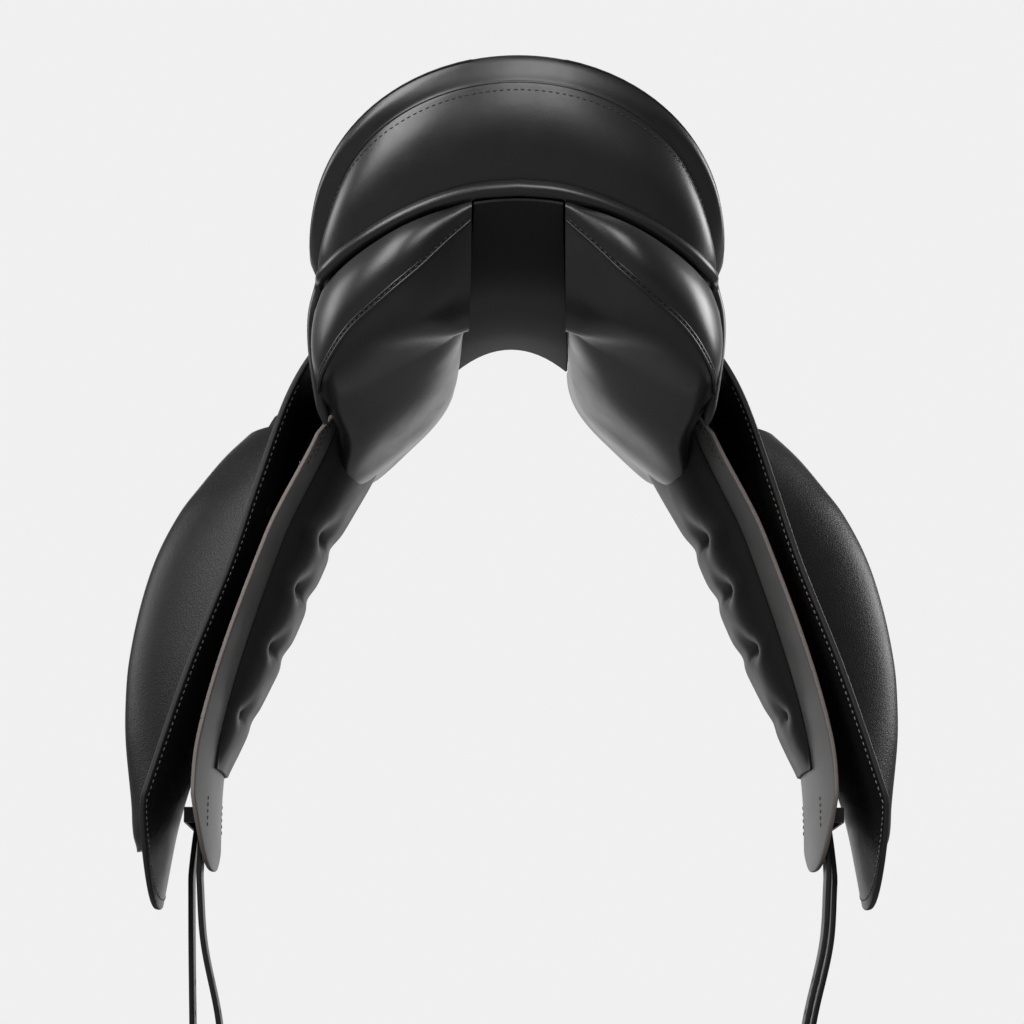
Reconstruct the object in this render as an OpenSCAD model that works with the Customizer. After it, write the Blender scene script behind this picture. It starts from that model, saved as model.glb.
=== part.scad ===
// Dressage saddle as separate pieces. Millimetres, +Y towards the pommel, +Z up.
// The origin lies midway between the panels, level with their bearing edge at the waist.

/* [Seat] */
// Distance of the cantle rim behind the origin
seat_back = 238; // [230:1:246]
// Distance of the pommel ahead of the origin
seat_front = 228; // [222:1:236]
// Widest part of the seat
seat_width = 314; // [306:1:322]
// Distance of the widest part behind the origin
seat_wide_back = 130; // [124:1:136]
// Width of the seat at the twist
twist_width = 168; // [160:1:176]
// Width of the seat behind the pommel
pommel_width = 116; // [110:1:122]
// Height of the cantle rim
cantle_height = 212; // [206:1:220]
// Height of the seat edge at its widest part
seat_edge_height = 95; // [92:1:99]
// Height of the lowest point of the seat
dip_height = 94; // [92:1:98]
// Height of the pommel
pommel_height = 175; // [170:1:182]
// Depth of the rolled edge over the cantle
roll_depth = 22; // [18:1:24]
// Thickness of the seat leather
cover_t = 2.5; // [1.8:0.1:3]
// Thickness of the seat foam along the middle
foam_t = 16; // [12:0.5:17]
// Thickness of the seat foam at the edge
foam_edge_t = 9; // [7:0.5:10]

/* [Tree] */
// Thickness of the tree
tree_t = 11; // [8:0.5:12]
// Thickness of the seat webs
web_t = 1.5; // [1:0.1:2]
// Outer radius of the gullet arch
gullet_r = 52; // [50:0.5:53]
// Thickness of the gullet plate
gullet_t = 4; // [3:0.5:4.5]
// Width of the gullet plate along the saddle
gullet_w = 40; // [30:1:44]
// Thickness of the tree points
point_t = 9; // [7:0.5:10]
// Length of the tree points
point_len = 91; // [80:1:94]
// Radius of the rivet shanks
rivet_r = 3; // [2:0.25:3.5]

/* [Stirrup bars] */
// Radius of the bar
bar_r = 5.5; // [4.5:0.25:6]
// Stand-off of the bar from the tree point
bar_off = 22; // [20:0.5:24]
// Rear end of the bar along the saddle
bar_rear = 102; // [100:1:106]
// Front end of the bar along the saddle
bar_front = 180; // [176:1:184]
// Radius of the catch pin
catch_pin_r = 1.5; // [1.2:0.1:1.7]
// Length of the safety catch
catch_len = 21; // [17:0.5:22]

/* [Panels] */
// Half width of the channel at the rear
channel_rear = 33; // [30:0.5:36]
// Half width of the channel at the waist
channel_waist = 44; // [42:0.5:46]
// Height of the channel lining at the waist
channel_waist_z = 55; // [53:0.5:56]
// Distance of the panel rear behind the origin
panel_back = 232; // [228:1:236]
// Thickness of the panel leather
panel_t = 2.5; // [1.5:0.1:3]
// Radius of the welt
welt_r = 5.5; // [4.5:0.25:6]
// Thickness of the knee pad
pad_t = 23; // [18:0.5:24]
// Depth of the sewn tufts
tuft_depth = 8; // [4:0.5:10]
// Number of tufts on each knee pad
tuft_count = 4; // [2:1:4]

/* [Flaps] */
// Height of the flap hinge line
hinge_z = 52; // [51:0.5:53]
// Distance of the flap hinge line from the middle
hinge_x = 128; // [127:0.5:129]
// Height of the lowest point of the flap
flap_tip_z = -404; // [-412:1:-396]
// Thickness of the flap leather
flap_t = 4.5; // [3.5:0.25:5]
// Outward curl of the flap at its front edge
flap_front_curl = 50; // [40:1:55]
// Outward curl of the flap at the foot of its rear edge
flap_rear_curl = 25; // [20:1:28]
// Height of the lowest point of the sweat flap
sweat_tip_z = -374; // [-376:1:-366]
// Thickness of the sweat flap leather
sweat_t = 3.5; // [2.5:0.25:4]
// Thickness of the thigh block
block_t = 72; // [60:1:78]
// Length of the skirt below the hinge line
skirt_len = 46; // [40:1:47]
// Thickness of the skirt leather
skirt_t = 3.2; // [2.5:0.1:3.5]

/* [Billets] */
// Width of a billet
billet_w = 25; // [20:0.5:28]
// Thickness of a billet
billet_t = 4.2; // [3:0.1:4.4]
// Height of the foot of the billets
billet_foot_z = -700; // [-740:1:-660]
// Radius of the billet holes
billet_hole_r = 2.75; // [2:0.05:3.2]
// Distance between billet holes
billet_pitch = 25; // [20:0.5:27]
// Number of holes in a billet
billet_holes = 9; // [4:1:9]

/* [Dee rings] */
// Radius of the dee wire
dee_wire_r = 2; // [1.6:0.1:2.2]
// Radius of the dee ring at the middle of its wire
dee_r = 14; // [12:0.5:15]

/* [Hidden] */
$fn = 48;
// Clearances: between soft layers, of drilled holes and of running pins
gap = 0.4;
hole_gap = 0.05;
pin_gap = 0.05;

SIDES = ["right", "left"];

// Shared arithmetic
function lerp(a, b, t) = a + (b - a) * t;
function clamp(v, lo, hi) = min(hi, max(lo, v));
function smooth(t) = let (c = clamp(t, 0, 1)) c * c * (3 - 2 * c);
function flat(rows) = [for (row = rows) each row];
function total(v, i = 0, s = 0) = i == len(v) ? s : total(v, i + 1, s + v[i]);
function unit(v) = v / norm(v);
function mean(points) = total(points, 1, points[0]) / len(points);

// A smooth curve through knots [position, value] in rising order
function knot_span(k, x, i = 0) = i >= len(k) - 2 || x < k[i + 1][0] ? i : knot_span(k, x, i + 1);
function knot_slope(k, i) =
  let (lo = max(i - 1, 0), hi = min(i + 1, len(k) - 1)) (k[hi][1] - k[lo][1]) / (k[hi][0] - k[lo][0]);
function curve(k, x) =
  let (i = knot_span(k, x), h = k[i + 1][0] - k[i][0], t = (x - k[i][0]) / h)
  let (m0 = knot_slope(k, i) * h, m1 = knot_slope(k, i + 1) * h)
  (2 * t ^ 3 - 3 * t ^ 2 + 1) * k[i][1] + (t ^ 3 - 2 * t ^ 2 + t) * m0
  + (3 * t ^ 2 - 2 * t ^ 3) * k[i + 1][1] + (t ^ 3 - t ^ 2) * m1;

// Solids made of triangles, turned so that they face outwards
function signed_volume(p, faces) = total([for (f = faces) p[f[0]] * cross(p[f[1]], p[f[2]])]);
function turned(p, faces) = signed_volume(p, faces) < 0 ? faces : [for (f = faces) [f[2], f[1], f[0]]];
module solid(points, faces) {
  polyhedron(points, turned(points, faces), convexity = 8);
}

// A leather layer between two grids of points; keep(i, j) says which cells are there
function sheet_faces(m, n, keep) =
  let (k = m * n, open = function (i, j) i < 0 || j < 0 || i > m - 2 || j > n - 2 || !keep(i, j))
  [for (i = [0:m - 2], j = [0:n - 2]) if (keep(i, j))
    let (a = i * n + j, b = a + 1, c = a + n + 1, d = a + n)
    each concat(
      [[a, b, c], [a, c, d], [a + k, c + k, b + k], [a + k, d + k, c + k]],
      open(i - 1, j) ? [[a, a + k, b + k], [a, b + k, b]] : [],
      open(i + 1, j) ? [[c, c + k, d + k], [c, d + k, d]] : [],
      open(i, j - 1) ? [[d, d + k, a + k], [d, a + k, a]] : [],
      open(i, j + 1) ? [[b, b + k, c + k], [b, c + k, c]] : [])];
module sheet(outer, inner, keep = function (i, j) true) {
  solid(concat(flat(outer), flat(inner)), sheet_faces(len(outer), len(outer[0]), keep));
}

// A solid through closed rings of points, with an end face on the first and the last
function loft_faces(m, n) = concat(
  [for (i = [0:m - 2], j = [0:n - 1])
    let (a = i * n + j, b = i * n + (j + 1) % n) each [[a, b, b + n], [a, b + n, a + n]]],
  [for (j = [0:n - 1]) [(j + 1) % n, j, m * n]],
  [for (j = [0:n - 1]) [(m - 1) * n + j, (m - 1) * n + (j + 1) % n, m * n + 1]]);
module loft(rings) {
  ends = [mean(rings[0]), mean(rings[len(rings) - 1])];
  solid(concat(flat(rings), ends), loft_faces(len(rings), len(rings[0])));
}

module on_side(side) {
  if (side == "right") children();
  else mirror([1, 0, 0]) children();
}

// Seat surface: half width, edge height and middle height along the saddle
rim_power = 1.43;
rim_start = 2;
seat_rows = 20;
seat_cols = 14;
seat_side = [[-seat_wide_back, seat_width / 2], [-40, lerp(seat_width, twist_width, 0.42) / 2],
  [60, twist_width / 2], [150, lerp(twist_width, pommel_width, 0.65) / 2],
  [seat_front - 23, pommel_width / 2], [seat_front, pommel_width / 2 - 22]];
seat_edge = [[-seat_wide_back, seat_edge_height], [-40, seat_edge_height - 15],
  [60, seat_edge_height - 9], [150, lerp(seat_edge_height, pommel_height, 0.3)],
  [seat_front, pommel_height - 25]];
seat_mid = [[-seat_back, cantle_height], [-seat_back + 38, cantle_height - 59],
  [-seat_wide_back - 20, dip_height + 20], [-80, dip_height + 4], [-20, dip_height],
  [60, dip_height + 9], [130, lerp(dip_height, pommel_height, 0.47)],
  [seat_front - 38, pommel_height - 10], [seat_front, pommel_height]];

function rim_g(y) =
  y < -seat_wide_back ? ((-seat_wide_back - y) / (seat_back - seat_wide_back)) ^ rim_power : 0;
function half_w(y) =
  y < -seat_wide_back ? seat_width / 2 * sqrt(max(0, 1 - rim_g(y) ^ 2)) : curve(seat_side, y);
function edge_z(y) =
  y < -seat_wide_back ? lerp(seat_edge_height, cantle_height, rim_g(y)) : curve(seat_edge, y);
function seat_z(u, y) = lerp(curve(seat_mid, y), edge_z(y), abs(u) ^ 2.2);
function row_y(i) = -seat_back + rim_start + (seat_back + seat_front - rim_start) * (i / seat_rows) ^ 1.3;
// Share of a sideways step that leads straight away from the rim
function edge_turn(y) = let (d = (half_w(y + 1) - half_w(y - 1)) / 2) max(0.25, 1 / sqrt(1 + d * d));

// Depths of the layers under the seat surface, at u across the seat
function foam_depth(u) = cover_t + gap + lerp(foam_t, foam_edge_t, min(1, u * u));
function web_depth(u) = foam_depth(u) + gap + web_t;
function tree_depth(u) = web_depth(u) + gap;

// One layer of the seat: rows first to last, drawn in by inset, depth under the surface
function layer(first, last, inset, depth) =
  [for (i = [first:last])
    let (y = row_y(i), w = half_w(y), in = 1 - inset / edge_turn(y) / w)
    [for (j = [0:seat_cols])
      let (u = (2 * j / seat_cols - 1) * in) [u * w, y, seat_z(u, y) - depth(u)]]];

foam_inset = 5.5;
foam_foot_inset = 17;
tree_inset = 20;
tree_first = 2;
tree_last = seat_rows - 1;
function tree_edge_x(y) = half_w(y) - tree_inset / edge_turn(y);
function tree_edge_u(y) = tree_edge_x(y) / half_w(y);
function tree_edge_z(y) = seat_z(tree_edge_u(y), y) - tree_depth(tree_edge_u(y));

module seat_cover() {
  color("#18181a")
    sheet(layer(0, seat_rows, 0, function (u) 0), layer(0, seat_rows, 0, function (u) cover_t));
}

module seat_foam() {
  color("#c8b890")
    sheet(layer(1, seat_rows - 1, foam_inset, function (u) cover_t + 2 * gap),
      layer(1, seat_rows - 1, foam_foot_inset, function (u) foam_depth(u)));
}

module seat_webs() {
  long_webs = function (j) abs(j + 0.5 - seat_cols / 2) > 1 && abs(j + 0.5 - seat_cols / 2) < 3;
  cross_webs = function (i) i == 7 || i == 10 || i == 13;
  wide = function (j) j > 0 && j < seat_cols - 1;
  color("#b09a70")
    sheet(layer(tree_first + 1, tree_last - 1, tree_inset, function (u) foam_depth(u) + gap),
      layer(tree_first + 1, tree_last - 1, tree_inset, function (u) web_depth(u)),
      function (i, j) long_webs(j) || cross_webs(i) && wide(j));
}

module tree() {
  frame_rows = function (i) row_y(i + tree_first) < -165 || row_y(i + tree_first + 1) > 125;
  rails = function (j) abs(j + 0.5 - seat_cols / 2) > seat_cols * 0.24;
  color("#8a6a48")
    sheet(layer(tree_first, tree_last, tree_inset, function (u) tree_depth(u)),
      layer(tree_first, tree_last, tree_inset, function (u) tree_depth(u) + tree_t),
      function (i, j) frame_rows(i) || rails(j));
}

// The rim runs from the right of the pommel round the cantle to the left
cantle_rows = [for (i = [0:seat_rows]) if (row_y(i) < -seat_wide_back) i];
cantle_last = len(cantle_rows) - 1;
function rim_point(sign, y) = [sign * half_w(y), y, edge_z(y)];
function rim_path(last) = concat([for (i = [last:-1:0]) rim_point(1, row_y(i))],
  [[0, -seat_back, cantle_height]], [for (i = [0:last]) rim_point(-1, row_y(i))]);
function path_step(p, k) = p[min(k + 1, len(p) - 1)] - p[max(k - 1, 0)];
function plan_normal(p, k) = let (t = path_step(p, k)) unit([-t[1], t[0], 0]);
// How far the foot of the roll turns in, and how deep it hangs
function roll_front(y) = smooth((y + seat_wide_back) / 70);
function roll_turn(y) = y < -seat_wide_back ? lerp(14, -2, rim_g(y)) : lerp(14, 1, roll_front(y));
function roll_hang(y) =
  y < -seat_wide_back ? roll_depth + 3 * (1 - rim_g(y)) : lerp(roll_depth + 3, 14, roll_front(y));

// Depth of the underside of the cover, under a rim point, a little way in from the rim
function cover_below(p, n, in) =
  let (q = p - n * in, y = clamp(q[1], -seat_back + 0.5, seat_front), u = min(1, abs(q[0]) / half_w(y)))
  p[2] - seat_z(u, y) + cover_t + gap;

module seat_roll() {
  p = rim_path(seat_rows);
  top = cover_t + gap;
  lip = 2.5;
  color("#1c1c1e")
    loft([for (k = [0:len(p) - 1])
      let (n = plan_normal(p, k), s = roll_turn(p[k][1]), h = roll_hang(p[k][1]))
      [for (ab = [[-lip, max(top, cover_below(p[k], n, lip))], [0.5, top], [3, h * 0.36],
          [1.5 - s / 2, h * 0.7], [-s, h], [-s - 4, h], [-s / 2 - 5, h * 0.7]])
        p[k] + n * ab[0] - [0, 0, ab[1]]]]);
}

// Welt between cantle back and panels
welt_back = 222;
welt_side_z = 62;
welt_rise = 52;
welt_inset = 7;
function welt_point(sign, g) = [sign * (seat_width / 2 - welt_inset) * sqrt(1 - g * g),
  -seat_wide_back - (welt_back - seat_wide_back) * g ^ 0.7, welt_side_z + welt_rise * g ^ 2.3];
welt_tail = [[-1, 8, -20], [-1, 18, -44], [-5, 26, -76], [-10, 32, -102]];
function welt_end(sign) = [for (d = welt_tail)
  [sign * (seat_width / 2 + d[0]), -seat_wide_back + d[1], welt_side_z + d[2]]];
function reversed(v) = [for (i = [len(v) - 1:-1:0]) v[i]];
function cantle_gs() = [for (i = cantle_rows) rim_g(row_y(i))];

module cantle_back() {
  t = 3;
  bulge = 5;
  rows = 5;
  p = rim_path(cantle_last);
  whole = rim_path(seat_rows);
  gs = concat(reversed(cantle_gs()), [1], cantle_gs());
  function face(r, off) = [for (k = [0:len(p) - 1])
    let (n = plan_normal(whole, k + seat_rows - cantle_last), s = roll_turn(p[k][1]))
    let (sign = k <= cantle_last ? 1 : -1)
    let (seam = p[k] - n * (s + gap) - [0, 0, roll_hang(p[k][1]) + gap])
    let (foot = welt_point(sign, gs[k]) + [0, 0, welt_r + 2 * gap])
    lerp(seam, foot, r) + n * (bulge * sin(180 * r) - off)];
  color("#1e1e20")
    sheet([for (i = [0:rows]) face(i / rows, 0)], [for (i = [0:rows]) face(i / rows, t)]);
}

module panel_welt() {
  sides = 8;
  heart = [0, -40, 0];
  half = [for (g = reversed(cantle_gs())) g];
  p = concat(reversed(welt_end(1)), [for (g = half) welt_point(1, g)], [welt_point(1, 1)],
    [for (g = reversed(half)) welt_point(-1, g)], welt_end(-1));
  color("#202022")
    loft([for (k = [0:len(p) - 1])
      let (t = unit(path_step(p, k)), away = p[k] - heart, flatwise = [away[0], away[1], 0])
      let (a = unit(flatwise - t * (flatwise * t)), b = cross(t, a))
      [for (i = [0:sides - 1]) p[k] + welt_r * (a * cos(360 * i / sides) + b * sin(360 * i / sides))]]);
}

// Gullet arch, as high as the tree leaves room for
gullet_rear = 150;
arch_gap = 0.7;
arch_z = curve(seat_mid, gullet_rear) - tree_depth(0) - tree_t - arch_gap - gullet_r;

// Panel cushions: channel, outer side, top and bearing edge along the saddle
panel_front = 205;
panel_half_w = seat_width / 2 - 9;
lining_t = 2.5;
lining_arch = [[-welt_back, 3], [40, 10], [panel_front, 20]];
lining_rear_z = welt_side_z + welt_rise - welt_r - 4 * gap - lining_arch[0][1] - lining_t;
lining_line = [[-welt_back, lining_rear_z], [-130, 68], [-40, 58], [40, channel_waist_z],
  [120, arch_z + 2], [panel_front, arch_z + 10]];
channel_line = [[-panel_back, channel_rear], [40, channel_waist], [panel_front, channel_waist + 4]];
panel_side = [[-seat_wide_back, panel_half_w], [-60, 136.5], [20, 127.5], [120, 125], [panel_front, 112]];
// How far the outer side leans out towards its foot
panel_flare = [[-panel_back, 0], [-130, 0], [-60, 0], [10, 20], [120, 20], [panel_front, 8]];
top_out_line = [[-panel_back, 95], [-220, 78.5], [-200, 64], [-180, 57], [-130, 53], [-60, 8], [20, -22],
  [120, arch_z - 86], [panel_front, arch_z - 70]];
foot_in_line = [[-panel_back, 62], [-180, 42], [-100, 18], [20, 3], [120, 3], [panel_front, 20]];
foot_out_line = [[-panel_back, 20], [-180, -18], [-130, -38], [-60, -62], [20, -84], [120, -84],
  [panel_front, -52]];
// Height of the gusset seam round the rear, by the distance from the middle
gusset_line = [[30, 101], [56, 76], [79, 52], [104, 31], [130, 10], [150, -14]];
function channel_x(y) = curve(channel_line, y);
function panel_x(y) = let (q = (-seat_wide_back - y) / (panel_back - seat_wide_back))
  y < -seat_wide_back ? lerp(channel_x(y), panel_half_w, (1 - min(q, 0.99) ^ 2.6) ^ 0.385)
    : curve(panel_side, y);
// Roundness of the panel towards its two ends
rear_round = 75;
front_round = 30;
function panel_full(y) =
  y < -panel_back + rear_round ? sqrt(1 - ((-panel_back + rear_round - y) / rear_round) ^ 2)
    : y > panel_front + 4 - front_round ? sqrt(1 - ((y - panel_front - 4 + front_round) / front_round) ^ 2)
    : 1;
panel_over_lining = 3;
function panel_top(y, t) =
  lerp(curve(lining_line, max(y, -welt_back)) + panel_over_lining, curve(top_out_line, y), t);
function panel_foot(y, t, off) = lerp(curve(foot_in_line, y), curve(foot_out_line, y), t) + off * 1.2;
function panel_at(y, t, drop, off) =
  let (c = channel_x(y) + off, o = panel_x(y) + curve(panel_flare, y) * drop - off, x = lerp(c, o, t))
  let (top = panel_top(y, t), foot = panel_foot(y, t, off))
  let (seam = y < 0 ? curve(gusset_line, x) : lerp(top, foot, 0.35))
  [x, y, lerp(top, lerp(seam, foot, panel_full(y)), drop)];
// Section of a cushion from the channel round the bearing face to the outer side
panel_cols = 12;
panel_rows = 20;
inner_power = 0.62;
outer_power = 0.5;
end_share = 0.04;
end_step = 1.5;
function panel_ring(y, off, share) = [for (j = [0:panel_cols])
  let (q = 180 * j / panel_cols, c = cos(q), power = c > 0 ? inner_power : outer_power)
  panel_at(y, (1 - sign(c) * abs(c) ^ power) / 2, sin(q) ^ power * share, off)];
function panel_grid(off) =
  let (a = -panel_back + 3 + off, b = panel_front - off)
  let (ys = [for (i = [0:panel_rows])
    let (t = i / panel_rows) lerp(a, b, lerp(t, (1 - cos(180 * t)) / 2, 0.6))])
  concat([panel_ring(a - end_step, off, end_share)], [for (y = ys) panel_ring(y, off, 1)],
    [panel_ring(b + end_step, off, end_share)]);

module panel_cover(side) {
  color("#19191c") on_side(side) sheet(panel_grid(0), panel_grid(panel_t));
}

module panel_flock(side) {
  rings = panel_grid(panel_t + gap);
  color("#d8d4c8") on_side(side) loft([for (i = [1:len(rings) - 2]) rings[i]]);
}

module channel_lining() {
  rows = 14;
  cols = 6;
  function face(off) = [for (i = [0:rows])
    let (y = lerp(-welt_back, panel_front - 5, i / rows))
    [for (j = [0:cols])
      let (u = 2 * j / cols - 1)
      [u * (channel_x(y) - gap), y, curve(lining_line, y) + curve(lining_arch, y) * (1 - u * u) + off]]];
  color("#141416") sheet(face(lining_t), face(0));
}

// Sweat flaps: distance from the middle by the drop under their top line
sweat_top_z = 30;
sweat_fall = [[0, 112], [64, 133], [150, 178], [304, 232], [404, 238]];
hang_mid_y = 75;
sweat_curl = 17;
sweat_front_curl = 40;
sweat_front_ends = [100, 170];
function rear_share(y) = max(0, hang_mid_y - y) / (hang_mid_y + 60);
function front_share(y) =
  max(0, y - sweat_front_ends[0]) / (sweat_front_ends[1] - sweat_front_ends[0]);
function sweat_x(y, z) = curve(sweat_fall, sweat_top_z - z) + sweat_curl * rear_share(y) ^ 2
  + sweat_front_curl * front_share(y) ^ 1.5;
function sweat_yz(a, b) =
  let (top = sweat_top_z - 70 * max(0, 1 - a / 0.45) ^ 2, foot = sweat_tip_z + 55 * abs(2 * a - 1) ^ 2.5)
  [lerp(lerp(-62, -35, b), lerp(170, 130, b), a), lerp(top, foot, b)];

module sweat_flap(side) {
  rows = 12;
  cols = 10;
  function face(off) = [for (i = [0:rows]) [for (j = [0:cols])
    let (p = sweat_yz(j / cols, i / rows)) [sweat_x(p[0], p[1]) + off, p[0], p[1]]]];
  color("#2a2a2a") on_side(side) sheet(face(sweat_t), face(0));
}

// Knee pads with their sewn tufts
pad_top_z = -86;
pad_foot_z = -294;
pad_gap = 0.8;
tuft_y = 42;
pad_profile = [[0, 1.02], [0.16, 1], [0.51, 0.92], [0.726, 0.65], [0.904, 0.35], [1, 0.09]];
function tuft_z(k) = pad_top_z - 19 - 42 * k - 3 * k * (k - 1);
function tuft(y, z) = tuft_depth * total([for (k = [0:tuft_count - 1])
  exp(-((y - tuft_y) / 10) ^ 2 - ((z - tuft_z(k)) / 9) ^ 2)]);
function pad_thick(a, b, y, z) =
  let (full = pad_t * curve(pad_profile, b) * sqrt(max(0, 1 - abs(2 * a - 1) ^ 4)))
  max(1.5, full - tuft(y, z) * min(1, full / pad_t));

module knee_pad(side) {
  rows = 27;
  cols = 12;
  function face(inner) = [for (i = [0:rows]) [for (j = [0:cols])
    let (b = i / rows, a = (j / cols) ^ 1.15)
    let (y = lerp(lerp(-20, 25, b), lerp(160, 135, b), a), z = lerp(pad_top_z, pad_foot_z, b))
    [sweat_x(y, z) - pad_gap - (inner ? pad_thick(a, b, y, z) : 0), y, z]]];
  color("#19191c") on_side(side) sheet(face(false), face(true));
}

// Flaps: distance from the hinge line by the drop under it, with curled front and rear edges
flap_fall = [[0, -2], [28, 24], [64, 40], [370, 137], [456, 154]];
// Outward curl of the rear edge by the depth under the origin
flap_rear_line = [[-20, 3], [20, 8], [84, 9.5], [143, 10.5], [224, 19], [306, flap_rear_curl],
  [330, flap_rear_curl + 2]];
flap_front_y = 200;
flap_front_back = 30;
bar_notch = [70, 190];
function flap_x(y, z) =
  let (drop = hinge_z - z, rear = curve(flap_rear_line, clamp(-z, flap_rear_line[0][0], 330)))
  let (front = max(0, y - hang_mid_y) / (flap_front_y - hang_mid_y))
  hinge_x + curve(flap_fall, drop)
  + smooth(drop / 28) * (rear * rear_share(y) ^ 2 + flap_front_curl * front ^ 1.5);
flap_first_drop = 2.2;
function flap_yz(a, b) =
  let (top = hinge_z - flap_first_drop - 26 * max(0, 1 - a / 0.25) ^ 2)
  let (foot = flap_tip_z + 91 * abs(2 * a - 0.95) ^ 2.1)
  [lerp(lerp(-70, -42, b), flap_front_y - flap_front_back * b * b, a), lerp(top, foot, b)];

module flap(side) {
  rows = 16;
  cols = 15;
  function face(off) = [for (i = [0:rows]) [for (j = [0:cols])
    let (p = flap_yz(j / cols, i / rows)) [flap_x(p[0], p[1]) + off, p[0], p[1]]]];
  function kept(i, j) = let (p = flap_yz((j + 0.5) / cols, i / rows))
    i > 0 || p[0] < bar_notch[0] || p[0] > bar_notch[1];
  color("#1b1b1d") on_side(side) sheet(face(flap_t), face(0), function (i, j) kept(i, j));
}

// Thigh blocks: height, place along the saddle and fullness from head to foot
block_ends = [4, -350];
block_y = [150, 135];
block_half_w = 48;
block_seat = 0.5;
block_edge_t = 1.5;
block_profile = [[0, 0.38], [0.06, 0.59], [0.133, 0.77], [0.195, 0.9], [0.3, 1], [0.42, 1], [0.556, 0.92],
  [0.65, 0.81], [0.746, 0.66], [0.9, 0.35], [0.97, 0.22], [1, 0.1]];
module thigh_block(side) {
  rows = 16;
  cols = 10;
  function face(out) = [for (i = [0:rows]) [for (j = [0:cols])
    let (e = i / rows, b = lerp(e, (1 - cos(180 * e)) / 2, 0.7), a = j / cols)
    let (z = lerp(block_ends[0], block_ends[1], b))
    let (y = lerp(block_y[0], block_y[1], b) + block_half_w * (1 - b / 4) * (2 * a - 1))
    let (t = block_edge_t + block_t * curve(block_profile, b) * sin(180 * a) ^ 0.7)
    [flap_x(y, z) + flap_t + block_seat + (out ? t : 0), y, z]]];
  color("#1f1f21") on_side(side) sheet(face(true), face(false));
}

skirt_ends = [-20, 196];
skirt_first_drop = 9;
skirt_gap_top = 5;
skirt_gap_foot = 0.8;
module skirt(side) {
  rows = 8;
  cols = 12;
  function face(off) = [for (i = [0:rows]) [for (j = [0:cols])
    let (a = j / cols, b = i / rows, y = lerp(skirt_ends[0], skirt_ends[1], a))
    let (z = hinge_z - lerp(skirt_first_drop, skirt_len - 14 * abs(2 * a - 1) ^ 3, b))
    [flap_x(y, z) + flap_t + lerp(skirt_gap_top, skirt_gap_foot, b) + off, y, z]]];
  color("#1b1b1d") on_side(side) sheet(face(skirt_t), face(0));
}

// Fixed heads of the flaps and skirts
flap_head_t = 3.5;
module flap_head(side) {
  rows = 16;
  cols = 5;
  ends = [-66, 192];
  cut_x = 84;
  function at(i, j) =
    let (y = lerp(ends[0], ends[1], i / rows), t = j / cols)
    [lerp(tree_edge_x(y) + 0.6, hinge_x - 0.4, t), y,
      lerp(tree_edge_z(y) - 1, hinge_z + flap_head_t / 2, sin(90 * t))];
  function face(off) = [for (i = [0:rows]) [for (j = [0:cols]) at(i, j) - [0, 0, off]]];
  function kept(i, j) = let (p = at(i + 0.5, j + 1))
    p[0] < cut_x || p[1] < bar_notch[0] || p[1] > bar_notch[1];
  color("#151517") on_side(side)
    sheet(face(0), face(flap_head_t), function (i, j) kept(i, j));
}

module skirt_head(side) {
  rows = 12;
  cols = 4;
  foot = [hinge_x + 9, hinge_z + 11];
  function face(off) = [for (i = [0:rows])
    let (y = lerp(skirt_ends[0], skirt_ends[1], i / rows))
    [for (j = [0:cols])
      let (t = j / cols)
      [lerp(half_w(y) - 3, foot[0], t), y,
        lerp(edge_z(y) - roll_hang(y) - gap, foot[1], t) + 2 * sin(180 * t) ^ 2 - off]]];
  color("#1b1b1d") on_side(side) sheet(face(0), face(skirt_t));
}

// Tree points, which hang from the gullet arch at point_tilt from the horizontal
point_tilt = 50;
point_ends = [138, 194];
function arch_at(r, q) = [r * sin(q), arch_z + r * cos(q)];
point_start = arch_at(gullet_r, point_tilt);
point_dir = [cos(point_tilt), -sin(point_tilt)];
point_out = [sin(point_tilt), cos(point_tilt)];
point_face = 0.2 + point_t;
module along_saddle(y0, y1) {
  translate([0, y1, 0]) rotate([90, 0, 0]) linear_extrude(y1 - y0) children();
}
// Local frame on the outer face of a tree point: x down the point, y ahead, z outwards
module on_point() {
  o = point_start + point_out * point_face;
  translate([o[0], 0, o[1]]) rotate([0, point_tilt, 0]) children();
}
bar_rivet_at = [[54, 150], [54, 182]];
point_rivet_at = [[24, 166], [86, 160]];

module gullet_plate() {
  steps = 10;
  half_out = concat([for (i = [0:steps]) arch_at(gullet_r, point_tilt * i / steps)],
    [point_start + point_dir * (point_len + 2)]);
  half_in = concat([for (i = [0:steps]) arch_at(gullet_r - gullet_t, point_tilt * i / steps)],
    [point_start + point_dir * (point_len + 2) - point_out * gullet_t]);
  other = function (v) [for (p = v) [-p[0], p[1]]];
  outline = concat(half_out, reversed(half_in), [for (i = [1:len(half_in) - 1]) other(half_in)[i]],
    [for (i = [len(half_out) - 1:-1:1]) other(half_out)[i]]);
  color("#6f7377") difference() {
    along_saddle(gullet_rear, gullet_rear + gullet_w) polygon(outline);
    for (s = SIDES, at = point_rivet_at)
      on_side(s) on_point() translate([at[0], at[1], -30]) cylinder(r = rivet_r + hole_gap, h = 30);
  }
}

module tree_point(side) {
  depth = point_t * 0.7;
  first = 5;
  color("#8a6a48") on_side(side) difference() {
    on_point() translate([first, point_ends[0], -point_t])
      cube([point_len - first, point_ends[1] - point_ends[0], point_t]);
    for (at = bar_rivet_at)
      on_point() translate([at[0], at[1], -depth]) cylinder(r = rivet_r + hole_gap, h = depth + 5);
    for (at = point_rivet_at)
      on_point() translate([at[0], at[1], -point_t - 5]) cylinder(r = rivet_r + hole_gap, h = depth + 5);
  }
}

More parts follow.
